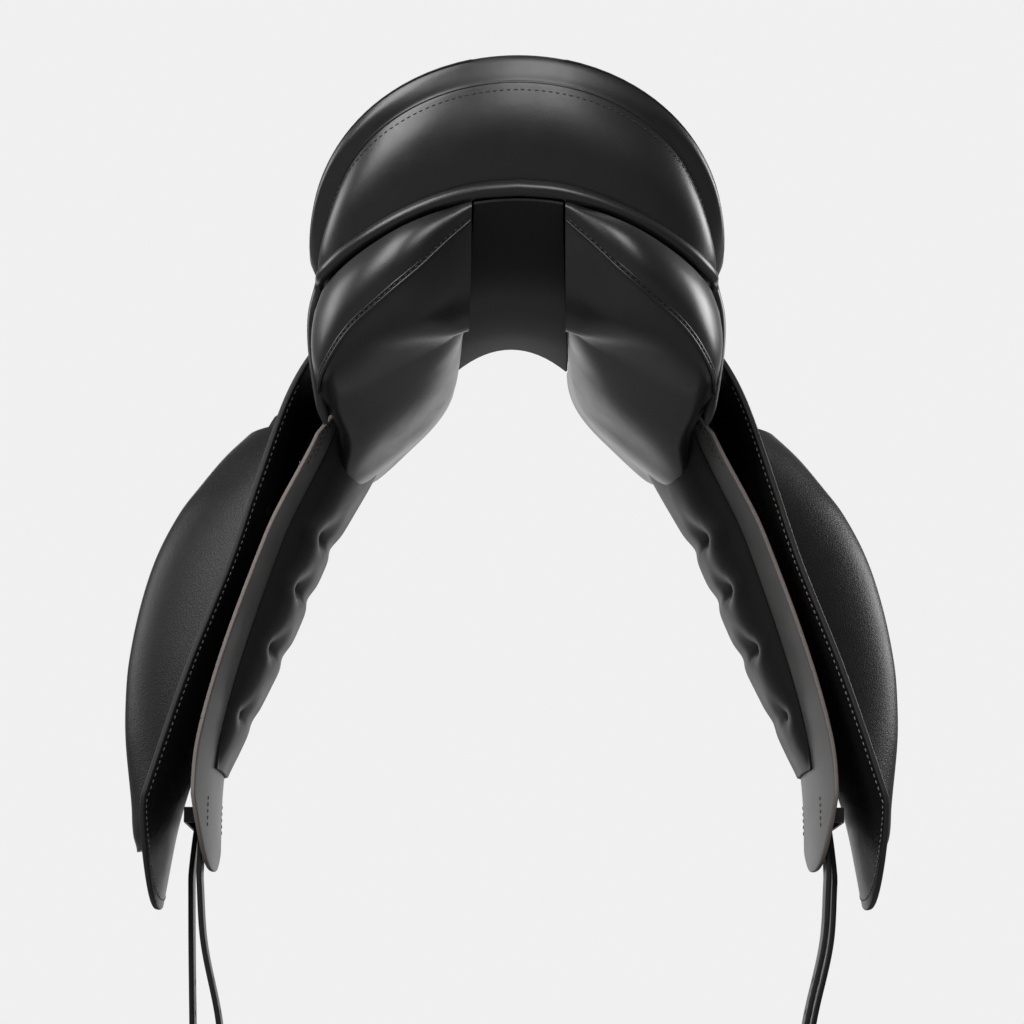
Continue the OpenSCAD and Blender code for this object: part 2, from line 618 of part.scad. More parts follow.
module rivet(shank, head_t) {
  translate([0, 0, -shank]) cylinder(r = rivet_r, h = shank + head_t / 2);
  cylinder(r = rivet_r * 1.7, h = head_t);
}

module point_rivets() {
  color("#85888c") for (s = SIDES, at = point_rivet_at)
    on_side(s) on_point() translate([at[0], at[1], -point_face - gullet_t - 0.05]) mirror([0, 0, 1])
      rivet(gullet_t + point_t * 0.6, 1.2);
}

// Stirrup bars with their safety catches
plate_t = 3;
plate_seat = 0.2;
plate_ends = [90, 192];
plate_span = [46, 80];
bar_down = 68;
arm_w = 10;
ear_t = 4;
ear_y = [93, 101];
pin_n = plate_seat + plate_t + 3.6;
pin_y = 97;
catch_w = 11.4;
catch_t = 4;
catch_knuckle_r = 3;
ear_side = catch_w / 2 + 0.3;

module stirrup_bar(side) {
  color("#7c8084") on_side(side) on_point() difference() {
    union() {
      translate([plate_span[0], plate_ends[0], plate_seat])
        cube([plate_span[1] - plate_span[0], plate_ends[1] - plate_ends[0], plate_t]);
      translate([bar_down, bar_front, bar_off]) rotate([90, 0, 0])
        cylinder(r = bar_r, h = bar_front - bar_rear);
      translate([bar_down - bar_r, bar_front - arm_w, plate_seat + plate_t / 2])
        cube([2 * bar_r, arm_w, bar_off - plate_seat - plate_t / 2]);
      for (d = [-ear_side - ear_t, ear_side])
        translate([bar_down + d, ear_y[0], plate_seat + plate_t / 2])
          cube([ear_t, ear_y[1] - ear_y[0], pin_n + 3 - plate_seat - plate_t / 2]);
    }
    for (at = bar_rivet_at)
      translate([at[0], at[1], 0]) cylinder(r = rivet_r + hole_gap, h = 10, center = true);
    translate([bar_down, pin_y, pin_n]) rotate([0, 90, 0])
      cylinder(r = catch_pin_r + pin_gap, h = 40, center = true);
  }
}

module bar_rivets() {
  color("#85888c") for (s = SIDES, at = bar_rivet_at)
    on_side(s) on_point() translate([at[0], at[1], plate_seat + plate_t + 0.05])
      rivet(plate_t + point_t * 0.6, 1.5);
}

module catch_pin(side) {
  color("#9a9da0") on_side(side) on_point() translate([bar_down, pin_y, pin_n]) rotate([0, 90, 0])
    cylinder(r = catch_pin_r, h = 2 * (ear_side + ear_t) + 1, center = true);
}

module bar_catch(side) {
  color("#7c8084") on_side(side) on_point() difference() {
    union() {
      translate([bar_down - catch_w / 2, pin_y, pin_n]) rotate([0, 90, 0])
        cylinder(r = catch_knuckle_r, h = catch_w);
      translate([bar_down - catch_w / 2, pin_y - catch_t / 2, pin_n]) cube([catch_w, catch_t, catch_len]);
    }
    translate([bar_down, pin_y, pin_n]) rotate([0, 90, 0])
      cylinder(r = catch_pin_r + pin_gap, h = catch_w + 2, center = true);
  }
}

// Billets: fixed upper straps between the flaps, and free lower ends with holes
billet_hinge_z = sweat_tip_z - 6;
front_billet_y = 85;
rear_billet_y = 25;
function billet_y(place) = place == "front" ? front_billet_y : rear_billet_y;
// The straps lean out below billet_lean_z, reaching billet_lean after billet_lean_fall
billet_lean_z = -240;
billet_lean_fall = 140;
billet_off = 0.8;
function billet_lean(place) = place == "front" ? 15 : 0;
function billet_x(place, z) =
  let (near_y = billet_y(place) - billet_w / 2)
  sweat_x(near_y, max(z, sweat_tip_z)) + sweat_t + billet_off
  + billet_lean(place) * smooth((billet_lean_z - z) / billet_lean_fall);
function billet_hinge_x(place) = billet_x(place, billet_hinge_z) + billet_t / 2;
// Distance of the lowest hole from the foot
billet_end = 40;
// Sideways drift of a billet by the drop under its hinge
function billet_hang(place, side) =
  side == "right" ? [[0, 0], [50, -4], [120, -20], [320, -44]]
    : place == "front" ? [[0, 0], [50, -1], [120, -3], [320, -8]] : [[0, 0], [50, -4], [120, -18], [320, -32]];

module billet_strap(place, side) {
  steps = 16;
  top_z = 26;
  end_z = billet_hinge_z + billet_t / 2 + 0.5;
  zs = [for (i = [0:steps]) lerp(top_z, end_z, i / steps)];
  outline = concat([for (z = zs) [billet_x(place, z), z]],
    [for (z = reversed(zs)) [billet_x(place, z) + billet_t, z]]);
  color("#202020") on_side(side)
    along_saddle(billet_y(place) - billet_w / 2, billet_y(place) + billet_w / 2) polygon(outline);
}

module billet(place, side) {
  steps = 14;
  r = billet_t / 2;
  length = billet_hinge_z - billet_foot_z;
  hang = billet_hang(place, side);
  x0 = billet_hinge_x(place);
  drops = [for (i = [0:steps]) 0.5 + (length - 0.5) * i / steps];
  cap = [for (i = [0:8]) [x0 - r * cos(22.5 * i), billet_hinge_z + r * sin(22.5 * i)]];
  outline = concat(cap, [for (d = drops) [x0 + curve(hang, d) + r, billet_hinge_z - d]],
    [for (d = reversed(drops)) [x0 + curve(hang, d) - r, billet_hinge_z - d]]);
  color("#202020") on_side(side) difference() {
    along_saddle(billet_y(place) - billet_w / 2, billet_y(place) + billet_w / 2) polygon(outline);
    for (i = [0:billet_holes - 1])
      let (d = length - billet_end - i * billet_pitch)
      translate([x0 + curve(hang, d), billet_y(place), billet_hinge_z - d]) rotate([0, 90, 0])
        cylinder(r = billet_hole_r, h = 3 * billet_t, center = true);
  }
}

module billet_keeper(side) {
  t = 2;
  span = [6, 104];
  heights = [-338, -326];
  mid_z = (heights[0] + heights[1]) / 2;
  out = billet_x("front", heights[0]) + billet_t + gap;
  function seat_at(y) = sweat_x(y, mid_z) + sweat_t + gap + 0.1;
  color("#202020") on_side(side) translate([0, 0, heights[0]]) linear_extrude(heights[1] - heights[0])
    polygon([[seat_at(span[0]), span[0]], [out + t, span[0]], [out + t, span[1]],
      [seat_at(span[1]), span[1]], [seat_at(span[1]), span[1] - t], [out, span[1] - t],
      [out, span[0] + t], [seat_at(span[0]), span[0] + t]]);
}

// Pommel facing: a tilted flat face that carries the dee rings
facing_tilt = 0.15;
facing_z = 150;
facing_off = 3.2;
function facing_y(z) = seat_front + facing_off + (z - facing_z) * facing_tilt;
module pommel_facing() {
  rows = 6;
  cols = 12;
  t = 2.5;
  function at(u, r, off) =
    let (top = seat_z(u, seat_front) - cover_t - 1, low = 98 - 22 * u * u, z = lerp(top, low, r))
    [u * lerp(half_w(seat_front) + 2, 58, r ^ 0.7), facing_y(z) + off, z];
  function face(off) = [for (i = [0:rows]) [for (j = [0:cols]) at(2 * j / cols - 1, i / rows, off)]];
  color("#1a1a1c") sheet(face(t), face(0));
}

dee_x = 36;
dee_pin_z = 104;
dee_off = 7.5;
chape_w = 14;
chape_h = 22;
dee_y = facing_y(dee_pin_z) + dee_off;
chape_r = dee_wire_r + 2.4;
module dee_chape(side) {
  seat_y = facing_y(dee_pin_z) + 2.5 + gap;
  color("#222224") on_side(side) difference() {
    union() {
      translate([dee_x - chape_w / 2, dee_y, dee_pin_z]) rotate([0, 90, 0])
        cylinder(r = chape_r, h = chape_w);
      translate([dee_x - chape_w / 2, seat_y, dee_pin_z])
        rotate([-atan(facing_tilt), 0, 0]) cube([chape_w, 4, chape_h]);
    }
    translate([dee_x, dee_y, dee_pin_z]) rotate([0, 90, 0])
      cylinder(r = dee_wire_r + pin_gap, h = chape_w + 10, center = true);
  }
}

module dee_ring(side) {
  color("#a8abae") on_side(side) translate([dee_x, dee_y, dee_pin_z]) {
    rotate([0, 90, 0]) cylinder(r = dee_wire_r, h = 2 * dee_r, center = true);
    rotate([-90, 0, 0]) rotate_extrude(angle = 180) translate([dee_r, 0]) circle(r = dee_wire_r);
    for (d = [-dee_r, dee_r]) translate([d, 0, 0]) sphere(r = dee_wire_r);
  }
}

tree();
gullet_plate();
point_rivets();
bar_rivets();
seat_webs();
seat_foam();
seat_cover();
seat_roll();
cantle_back();
panel_welt();
channel_lining();
pommel_facing();
for (s = SIDES) {
  tree_point(s);
  stirrup_bar(s);
  catch_pin(s);
  bar_catch(s);
  panel_cover(s);
  panel_flock(s);
  knee_pad(s);
  sweat_flap(s);
  flap_head(s);
  skirt_head(s);
  billet_keeper(s);
  dee_chape(s);
  dee_ring(s);
  flap(s);
  thigh_block(s);
  skirt(s);
  for (p = ["front", "rear"]) {
    billet_strap(p, s);
    billet(p, s);
  }
}
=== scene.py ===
import math

import bmesh
import bpy
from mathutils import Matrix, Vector


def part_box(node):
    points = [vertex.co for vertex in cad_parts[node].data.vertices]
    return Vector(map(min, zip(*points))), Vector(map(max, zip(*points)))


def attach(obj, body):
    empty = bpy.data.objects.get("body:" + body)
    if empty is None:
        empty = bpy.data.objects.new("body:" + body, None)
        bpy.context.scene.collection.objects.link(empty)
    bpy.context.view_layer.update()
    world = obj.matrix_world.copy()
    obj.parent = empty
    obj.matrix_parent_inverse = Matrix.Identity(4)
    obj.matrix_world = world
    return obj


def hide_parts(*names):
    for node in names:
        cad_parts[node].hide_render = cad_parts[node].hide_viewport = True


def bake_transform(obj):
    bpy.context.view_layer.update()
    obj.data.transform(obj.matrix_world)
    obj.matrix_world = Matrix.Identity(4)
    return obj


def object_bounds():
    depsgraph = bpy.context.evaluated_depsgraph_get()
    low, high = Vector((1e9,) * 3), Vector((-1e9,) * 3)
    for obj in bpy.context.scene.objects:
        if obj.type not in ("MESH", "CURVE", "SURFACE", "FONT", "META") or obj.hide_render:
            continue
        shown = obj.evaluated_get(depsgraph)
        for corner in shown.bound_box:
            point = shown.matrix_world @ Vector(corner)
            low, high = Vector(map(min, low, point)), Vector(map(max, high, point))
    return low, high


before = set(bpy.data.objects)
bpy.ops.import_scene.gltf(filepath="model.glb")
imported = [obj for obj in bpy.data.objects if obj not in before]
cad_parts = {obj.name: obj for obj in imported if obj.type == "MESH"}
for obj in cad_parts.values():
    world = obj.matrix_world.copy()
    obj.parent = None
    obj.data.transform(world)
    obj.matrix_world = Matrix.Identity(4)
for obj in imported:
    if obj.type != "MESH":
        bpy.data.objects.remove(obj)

bl_info = {
    "name": "Dressage saddle",
    "version": (1, 0, 0),
    "blender": (4, 5, 0),
    "location": "View3D > Sidebar > Saddle",
    "description": "Leather, stitching and studio for a dressage saddle built over its fixed frame",
    "category": "Object",
}

CAD_BOX = [list(corner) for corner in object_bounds()]
MM = 0.001
MERGE_GAP = 0.00002
EDGE_ROUND = 0.3
SHARP_ANGLE = 50
SIDES = {"right": 1, "left": -1}
SEAT_LOW, SEAT_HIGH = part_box("seat_cover")
FLAP_LOW, FLAP_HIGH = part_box("flap_right")
BILLET_LOW, BILLET_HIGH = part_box("billet_front_right")


class SaddleSizes(bpy.types.PropertyGroup):
    """Sizes of the leather pieces."""
    seat_width: bpy.props.FloatProperty(
        name="Seat width", description="Widest part of the seat",
        default=SEAT_HIGH.x - SEAT_LOW.x, unit="LENGTH")
    seat_front: bpy.props.FloatProperty(
        name="Pommel reach", description="Distance of the pommel ahead of the origin",
        default=SEAT_HIGH.y, unit="LENGTH")
    cantle_height: bpy.props.FloatProperty(
        name="Cantle height", description="Height of the cantle rim", default=0.212, unit="LENGTH")
    roll_depth: bpy.props.FloatProperty(
        name="Roll depth", description="Depth of the rolled edge over the cantle",
        default=0.022, unit="LENGTH")
    cover_t: bpy.props.FloatProperty(
        name="Seat leather", description="Thickness of the seat leather", default=0.0025, unit="LENGTH")
    welt_r: bpy.props.FloatProperty(
        name="Welt radius", description="Radius of the welt under the cantle", default=0.0055, unit="LENGTH")
    flap_t: bpy.props.FloatProperty(
        name="Flap leather", description="Thickness of the flap leather", default=0.0045, unit="LENGTH")
    flap_tip_z: bpy.props.FloatProperty(
        name="Flap tip", description="Height of the lowest point of the flap",
        default=FLAP_LOW.z, unit="LENGTH")
    sweat_t: bpy.props.FloatProperty(
        name="Sweat flap leather", description="Thickness of the sweat flap", default=0.0035, unit="LENGTH")
    block_t: bpy.props.FloatProperty(
        name="Thigh block", description="Thickness of the thigh block", default=0.072, unit="LENGTH")
    pad_t: bpy.props.FloatProperty(
        name="Knee pad", description="Thickness of the knee pad", default=0.023, unit="LENGTH")
    billet_w: bpy.props.FloatProperty(
        name="Billet width", description="Width of a billet",
        default=BILLET_HIGH.y - BILLET_LOW.y, unit="LENGTH")
    billet_t: bpy.props.FloatProperty(
        name="Billet leather", description="Thickness of a billet", default=0.0042, unit="LENGTH")
    billet_foot_z: bpy.props.FloatProperty(
        name="Billet foot", description="Height of the foot of the billets",
        default=BILLET_LOW.z, unit="LENGTH")
    stitch_pitch: bpy.props.FloatProperty(
        name="Stitch pitch", description="Distance between stitches", default=0.0052, unit="LENGTH")


class SaddleColours(bpy.types.PropertyGroup):
    """Colours of leather, thread, wood, metal and backdrop."""
    leather: bpy.props.FloatVectorProperty(
        name="Leather", description="Dyed leather", subtype="COLOR", size=4,
        default=(0.009, 0.009, 0.0098, 1))
    grain: bpy.props.FloatVectorProperty(
        name="Grain", description="High points of the leather's grain", subtype="COLOR", size=4,
        default=(0.008, 0.0078, 0.0078, 1))
    # The sweat flap colour is a light grey on black leather: a painted reflection of the horse side's sheen.
    sweat: bpy.props.FloatVectorProperty(
        name="Sweat flap", description="Waxed horse side of the sweat flaps", subtype="COLOR", size=4,
        default=(0.13, 0.128, 0.125, 1))
    cut_edge: bpy.props.FloatVectorProperty(
        name="Cut edge", description="Raw edge of the thick leather", subtype="COLOR", size=4,
        default=(0.016, 0.014, 0.013, 1))
    thread: bpy.props.FloatVectorProperty(
        name="Thread", description="Dark sewing thread", subtype="COLOR", size=4,
        default=(0.036, 0.024, 0.02, 1))
    # The pale thread colour is real pale stitching on the flaps, and also a painted edge highlight on the
    # sweat flap rims.
    pale_thread_and_edge_highlight: bpy.props.FloatVectorProperty(
        name="Pale thread", description="Thread along the flap edge, and worn edges", subtype="COLOR", size=4,
        default=(0.24, 0.2, 0.18, 1))
    wood: bpy.props.FloatVectorProperty(
        name="Tree wood", description="Laminated wood of the tree", subtype="COLOR", size=4,
        default=(0.03, 0.021, 0.015, 1))
    steel: bpy.props.FloatVectorProperty(
        name="Steel", description="Stirrup bars, gullet plate and rivets", subtype="COLOR", size=4,
        default=(0.42, 0.43, 0.45, 1))
    webbing: bpy.props.FloatVectorProperty(
        name="Webbing", description="Linen webs over the tree", subtype="COLOR", size=4,
        default=(0.44, 0.36, 0.24, 1))
    backdrop: bpy.props.FloatVectorProperty(
        name="Backdrop", description="Floor and backdrop", subtype="COLOR", size=4,
        default=(0.871, 0.871, 0.871, 1))


def lerp(a, b, t):
    return a + (b - a) * t


def clamp(v, low=0.0, high=1.0):
    return min(high, max(low, v))


def smooth(t):
    c = clamp(t)
    return c * c * (3 - 2 * c)


def curve(knots, x):
    """Value at x of a smooth curve through knots (position, value) in rising order."""
    i = 0
    while i < len(knots) - 2 and x >= knots[i + 1][0]:
        i += 1

    def slope(k):
        low, high = max(k - 1, 0), min(k + 1, len(knots) - 1)
        return (knots[high][1] - knots[low][1]) / (knots[high][0] - knots[low][0])

    h = knots[i + 1][0] - knots[i][0]
    t = (x - knots[i][0]) / h
    m0, m1 = slope(i) * h, slope(i + 1) * h
    return ((2 * t**3 - 3 * t**2 + 1) * knots[i][1] + (t**3 - 2 * t**2 + t) * m0
            + (3 * t**2 - 2 * t**3) * knots[i + 1][1] + (t**3 - t**2) * m1)


def spline(points, count):
    """Evenly numbered points along a smooth line through the given points, of any dimension."""
    axes = [[(i, p[a]) for i, p in enumerate(points)] for a in range(len(points[0]))]
    last = len(points) - 1
    return [tuple(curve(axis, last * i / (count - 1)) for axis in axes) for i in range(count)]


class SaddleShape:
    """Surfaces of the saddle in millimetres: +Y to the pommel, +Z up, right side at +X."""
    # Seat, its rolled edge and the welt under the cantle
    seat_back = 238.0
    wide_back = 130.0
    seat_edge_z = 95.0
    seat_crown = 2.2
    rim_power = 1.43
    rim_side_steps, rim_cantle_steps = 44, 72
    roll_turn_wide, roll_turn_back, roll_turn_front = 14.0, -2.0, 1.0
    roll_extra = 3.0
    roll_front_hang = 14.0
    roll_change = 70.0
    welt_back = 222.0
    welt_inset = 7.0
    welt_side_z = 62.0
    welt_rise = 52.0
    # Panels
    panel_back = 232.0
    panel_front = 205.0
    panel_inset = 4.5
    nose_length, nose_past = 30.0, 4.0
    lining_lap = 3.0
    inner_power, outer_power = 0.62, 0.5
    corner_square, square_from, square_over = 0.3, -60.0, 70.0
    rear_power = 2.3
    rear_flat, rear_flat_from, rear_flat_over = 0.13, 1.0, 0.57
    rear_rise, rear_rise_over = 1.2, 1.1
    rear_top_from, rear_top_over = 0.7, 0.2
    welt_lap = 2.5
    # Hanging leather
    hinge = (128.0, 52.0)
    hang_mid_y = 75.0
    hang_rear = 60.0
    curl_power = 1.5
    flap_front_y = 200.0
    flap_rear_edge = (-70.0, -42.0)
    flap_top_gap = 2.2
    flap_turn = 28.0
    flap_front_curl = 50.0
    flap_front_sweep = 30.0
    flap_corner, flap_corner_share = 26.0, 0.25
    flap_foot_rise = 91.0
    sweat_top_z = 30.0
    sweat_tip_z = -374.0
    sweat_front = (100.0, 170.0)
    sweat_rear_edge, sweat_front_edge = (-62.0, -35.0), (170.0, 130.0)
    sweat_rear_curl, sweat_front_curl = 17.0, 58.0
    sweat_corner, sweat_corner_share = 70.0, 0.45
    sweat_foot_rise = 55.0
    tree_inset = 20.0
    foam_t = (16.0, 9.0)
    nail_gap = 2.7
    # Pads, blocks, skirts and billets
    pad_span = (-86.0, -294.0)
    pad_rear_edge, pad_front_edge = (-20.0, 25.0), (160.0, 135.0)
    tufts = 4
    tuft_y = 42.0
    tuft_first, tuft_pitch, tuft_spread = 19.0, 42.0, 3.0
    block_span = (4.0, -350.0)
    block_rows = (150.0, 135.0)
    block_half_w = 48.0
    skirt_len = 46.0
    skirt_ends = (-20.0, 196.0)
    billet_rows = {"front": 85.0, "rear": 25.0}
    billet_lean = {"front": 15.0, "rear": 0.0}
    billet_gap = 0.8
    billet_top_z = 26.0
    billet_hinge_z = -380.0
    lean_from, lean_over = -240.0, 140.0

    def __init__(self, sizes):
        self.seat_width = sizes.seat_width / MM
        self.seat_front = sizes.seat_front / MM
        self.cantle_height = sizes.cantle_height / MM
        self.roll_depth = sizes.roll_depth / MM
        self.cover_t = sizes.cover_t / MM
        self.welt_r = sizes.welt_r / MM
        self.flap_t = sizes.flap_t / MM
        self.flap_tip_z = sizes.flap_tip_z / MM
        self.sweat_t = sizes.sweat_t / MM
        self.block_t = sizes.block_t / MM
        self.pad_t = sizes.pad_t / MM
        self.billet_w = sizes.billet_w / MM
        self.billet_t = sizes.billet_t / MM
        self.billet_foot_z = sizes.billet_foot_z / MM
        front, back, wide = self.seat_front, self.seat_back, self.wide_back
        self.side_line = [(-wide, self.seat_width / 2), (-40, 126.3), (60, 84), (150, 67.1),
                          (front - 23, 58), (front, 36)]
        self.edge_line = [(-wide, self.seat_edge_z), (-40, 80), (60, 86), (150, 119), (front, 150)]
        self.mid_line = [(-back, self.cantle_height), (-back + 38, self.cantle_height - 59),
                         (-wide - 20, 114), (-80, 98), (-20, 94), (60, 103), (130, 132),
                         (front - 38, 165), (front, 175)]
        self.lining_line = [(-self.welt_back, 101.4), (-130, 68), (-40, 58), (40, 55), (120, 60),
                            (self.panel_front, 68)]
        self.lining_arch = [(-self.welt_back, 3), (40, 10), (self.panel_front, 20)]
        self.channel_line = [(-self.panel_back, 33), (40, 44), (self.panel_front, 48)]
        self.welt_half_w = self.seat_width / 2 - self.welt_inset
        self.panel_half_w = self.seat_width / 2 - self.panel_inset
        self.panel_line = [(-wide, self.panel_half_w), (-100, 148), (-60, 136.5), (20, 127.5), (120, 125),
                           (self.panel_front, 112)]
        self.flare_line = [(-130, 0), (-60, 0), (10, 20), (120, 20), (self.panel_front, 8)]
        self.belly_line = [(-self.panel_back, 0), (-160, 2), (-115, 7), (-60, 5), (10, 0)]
        self.top_line = [(-180, 57), (-130, 53), (-60, 8), (20, -22), (120, -28), (self.panel_front, -12)]
        self.gusset_line = [(30, 101), (56, 76), (79, 52), (104, 31), (130, 10), (150, -14)]
        self.foot_in_line = [(-self.panel_back, 62), (-180, 42), (-100, 18), (20, 3), (60, 5), (120, 20),
                             (self.panel_front, 36)]
        self.foot_out_line = [(-180, -18), (-130, -38), (-60, -62), (20, -82), (60, -80), (120, -64),
                              (self.panel_front, -38)]
        self.sweat_fall = [(0, 112), (64, 133), (150, 178), (304, 232), (404, 238)]
        self.flap_fall = [(0, -2), (28, 24), (64, 40), (370, 137), (456, 154)]
        self.flap_rear_line = [(-20, 3), (20, 8), (84, 9.5), (143, 10.5), (224, 19), (306, 25), (330, 27)]
        self.pad_profile = [(0, 1.02), (0.16, 1), (0.51, 0.92), (0.726, 0.65), (0.904, 0.35), (1, 0.09)]
        self.block_profile = [(0, 0.38), (0.06, 0.59), (0.133, 0.77), (0.195, 0.9), (0.3, 1), (0.42, 1),
                              (0.556, 0.92), (0.65, 0.81), (0.746, 0.66), (0.9, 0.35), (0.97, 0.22), (1, 0.1)]
        self.hang = {("front", "right"): [(0, 0), (50, -4), (120, -20), (320, -44)],
                     ("rear", "right"): [(0, 0), (50, -4), (120, -20), (320, -44)],
                     ("front", "left"): [(0, 0), (50, -1), (120, -3), (320, -8)],
                     ("rear", "left"): [(0, 0), (50, -4), (120, -18), (320, -32)]}

    def rim_g(self, y):
        """How far round the cantle a rim point lies: 0 at the widest part, 1 at the back."""
        if y >= -self.wide_back:
            return 0.0
        return min(1.0, (-self.wide_back - y) / (self.seat_back - self.wide_back)) ** self.rim_power

    def half_w(self, y):
        if y >= -self.wide_back:
            return curve(self.side_line, y)
        return self.seat_width / 2 * math.sqrt(max(0.0, 1 - self.rim_g(y) ** 2))

    def edge_z(self, y):
        if y >= -self.wide_back:
            return curve(self.edge_line, y)
        return lerp(self.seat_edge_z, self.cantle_height, self.rim_g(y))

    def seat_z(self, u, y):
        return lerp(curve(self.mid_line, y), self.edge_z(y), abs(u) ** self.seat_crown)

    def rim_path(self):
        """Points of the rim from the right of the pommel round the cantle to the left."""
        right = []
        for i in range(self.rim_side_steps):
            y = lerp(self.seat_front, -self.wide_back, i / self.rim_side_steps)
            right.append((self.half_w(y), y, self.edge_z(y)))
        round_back = []
        for i in range(self.rim_cantle_steps + 1):
            turn = math.pi * (0.5 - i / self.rim_cantle_steps)
            g = max(0.0, math.cos(turn))
            y = -self.wide_back - (self.seat_back - self.wide_back) * g ** (1 / self.rim_power)
            round_back.append((self.seat_width / 2 * math.sin(turn), y,
                               lerp(self.seat_edge_z, self.cantle_height, g)))
        left = [(-x, y, z) for x, y, z in reversed(right)]
        return right + round_back + left

    def roll_front(self, y):
        return smooth((y + self.wide_back) / self.roll_change)

    def roll_turn(self, y):
        """How far the rolled edge turns in under the rim."""
        if y < -self.wide_back:
            return lerp(self.roll_turn_wide, self.roll_turn_back, self.rim_g(y))
        return lerp(self.roll_turn_wide, self.roll_turn_front, self.roll_front(y))

    def roll_hang(self, y):
        """How far the rolled edge hangs below the rim."""
        if y < -self.wide_back:
            return self.roll_depth + self.roll_extra * (1 - self.rim_g(y))
        return lerp(self.roll_depth + self.roll_extra, self.roll_front_hang, self.roll_front(y))

    def welt_z(self, g):
        return self.welt_side_z + self.welt_rise * g**2.3

    def welt_point(self, sign, g):
        return (sign * self.welt_half_w * math.sqrt(max(0.0, 1 - g * g)),
                -self.wide_back - (self.welt_back - self.wide_back) * g**0.7, self.welt_z(g))

    def welt_height(self, x):
        return self.welt_z(math.sqrt(max(0.0, 1 - (x / self.welt_half_w) ** 2)))

    def channel_x(self, y):
        return curve(self.channel_line, y)

    def panel_full(self, y):
        """How deep the section of a cushion is; it closes towards the front end."""
        past = max(0.0, y - self.panel_front - self.nose_past + self.nose_length)
        return math.sqrt(max(0.0, 1 - (past / self.nose_length) ** 2))

    def panel_at(self, y, t, drop):
        """Point of a cushion: t from channel to outer side, drop from its top to its bearing face."""
        belly = curve(self.belly_line, min(y, self.belly_line[-1][0])) * 4 * drop * (1 - drop)
        x = lerp(self.channel_x(y), curve(self.panel_line, y) + curve(self.flare_line, y) * drop + belly, t)
        top = lerp(curve(self.lining_line, y) + self.lining_lap, curve(self.top_line, y), t)
        foot = lerp(curve(self.foot_in_line, y), curve(self.foot_out_line, y), t)
        return (x, y, lerp(top, lerp(lerp(top, foot, 0.35), foot, self.panel_full(y)), drop))

    def panel_round(self, y, turn, share=1.0):
        """Point round the section of a cushion; turn runs from 0 at the channel to 1 at the outer rim."""
        c, s = math.cos(math.pi * turn), max(0.0, math.sin(math.pi * turn))
        square = self.corner_square * smooth((self.square_from - y) / self.square_over)
        power = self.inner_power - square if c > 0 else self.outer_power
        return self.panel_at(y, (1 - math.copysign(abs(c) ** power, c)) / 2, s**power * share)

    def rear_reach(self, angle):
        """How far a cushion reaches from the end of its channel wall, at an angle from sideways to back."""
        side, deep = self.panel_half_w - self.channel_x(-self.wide_back), self.panel_back - self.wide_back
        power = self.rear_power
        reach = ((math.cos(angle) / side) ** power + (math.sin(angle) / deep) ** power) ** (-1 / power)
        return reach * (1 - self.rear_flat * smooth((angle - self.rear_flat_from) / self.rear_flat_over))

    def rear_at(self, point, angle, top_share=None):
        """Turns a point of the widest section round to the rear end; top_share is 1 on the upper side."""
        x, _, z = point
        inner = self.channel_x(-self.wide_back)
        out = max(0.0, (x - inner) / (self.panel_half_w - inner))
        reach = self.rear_reach(angle)
        c, s = math.cos(angle), math.sin(angle)
        seam, top = curve(self.gusset_line, self.panel_half_w), curve(self.top_line, -self.wide_back)
        rise = 0.0
        if top_share is None:
            outer = smooth((out - self.rear_top_from) / self.rear_top_over)
            top_share = clamp((z - seam) / (top - seam)) * outer
            rise = (self.rear_rise * max(0.0, out * out * (1 - out)) * reach * s
                    * (1 - smooth(angle / self.rear_rise_over)))
        lift = lerp(curve(self.gusset_line, inner + reach * c) - seam,
                    self.welt_height(inner + reach * c) - self.welt_r + self.welt_lap - top, top_share)
        near = min(out, 1.0)
        return (inner + reach * out * c - self.welt_lap * s * s * near, -self.wide_back - reach * out * s,
                z + lift * near**1.5 + rise)

    def gusset_turn(self, y):
        """Where round the section the gusset seam runs."""
        low, high = 0.5, 1.0
        for _ in range(24):
            turn = (low + high) / 2
            x, _, z = self.panel_round(y, turn)
            if z < curve(self.gusset_line, x):
                low = turn
            else:
                high = turn
        return (low + high) / 2

    def rear_share(self, y):
        """How far behind the middle of the hanging leather a place lies."""
        return max(0.0, self.hang_mid_y - y) / (self.hang_mid_y + self.hang_rear)

    def sweat_x(self, y, z):
        front = max(0.0, y - self.sweat_front[0]) / (self.sweat_front[1] - self.sweat_front[0])
        return (curve(self.sweat_fall, self.sweat_top_z - z) + self.sweat_rear_curl * self.rear_share(y) ** 2
                + self.sweat_front_curl * front**self.curl_power)

    def sweat_yz(self, a, b):
        """Place on a sweat flap: a from its rear to its front edge, b from its top to its foot."""
        top = self.sweat_top_z - self.sweat_corner * max(0.0, 1 - a / self.sweat_corner_share) ** 2
        foot = self.sweat_tip_z + self.sweat_foot_rise * abs(2 * a - 1) ** 2.5
        return lerp(lerp(*self.sweat_rear_edge, b), lerp(*self.sweat_front_edge, b), a), lerp(top, foot, b)

    def flap_x(self, y, z):
        drop = self.hinge[1] - z
        rear = curve(self.flap_rear_line, clamp(-z, self.flap_rear_line[0][0], self.flap_rear_line[-1][0]))
        front = max(0.0, y - self.hang_mid_y) / (self.flap_front_y - self.hang_mid_y)
        curl = rear * self.rear_share(y) ** 2 + self.flap_front_curl * front**self.curl_power
        return self.hinge[0] + curve(self.flap_fall, drop) + smooth(drop / self.flap_turn) * curl

    def flap_yz(self, a, b):
        """Place on a flap: a from its rear to its front edge, b from its top to its foot."""
        corner = self.flap_corner * max(0.0, 1 - a / self.flap_corner_share) ** 2
        foot = self.flap_tip_z + self.flap_foot_rise * abs(2 * a - 0.95) ** 2.1
        front = self.flap_front_y - self.flap_front_sweep * b * b
        return (lerp(lerp(*self.flap_rear_edge, b), front, a),
                lerp(self.hinge[1] - self.flap_top_gap - corner, foot, b))

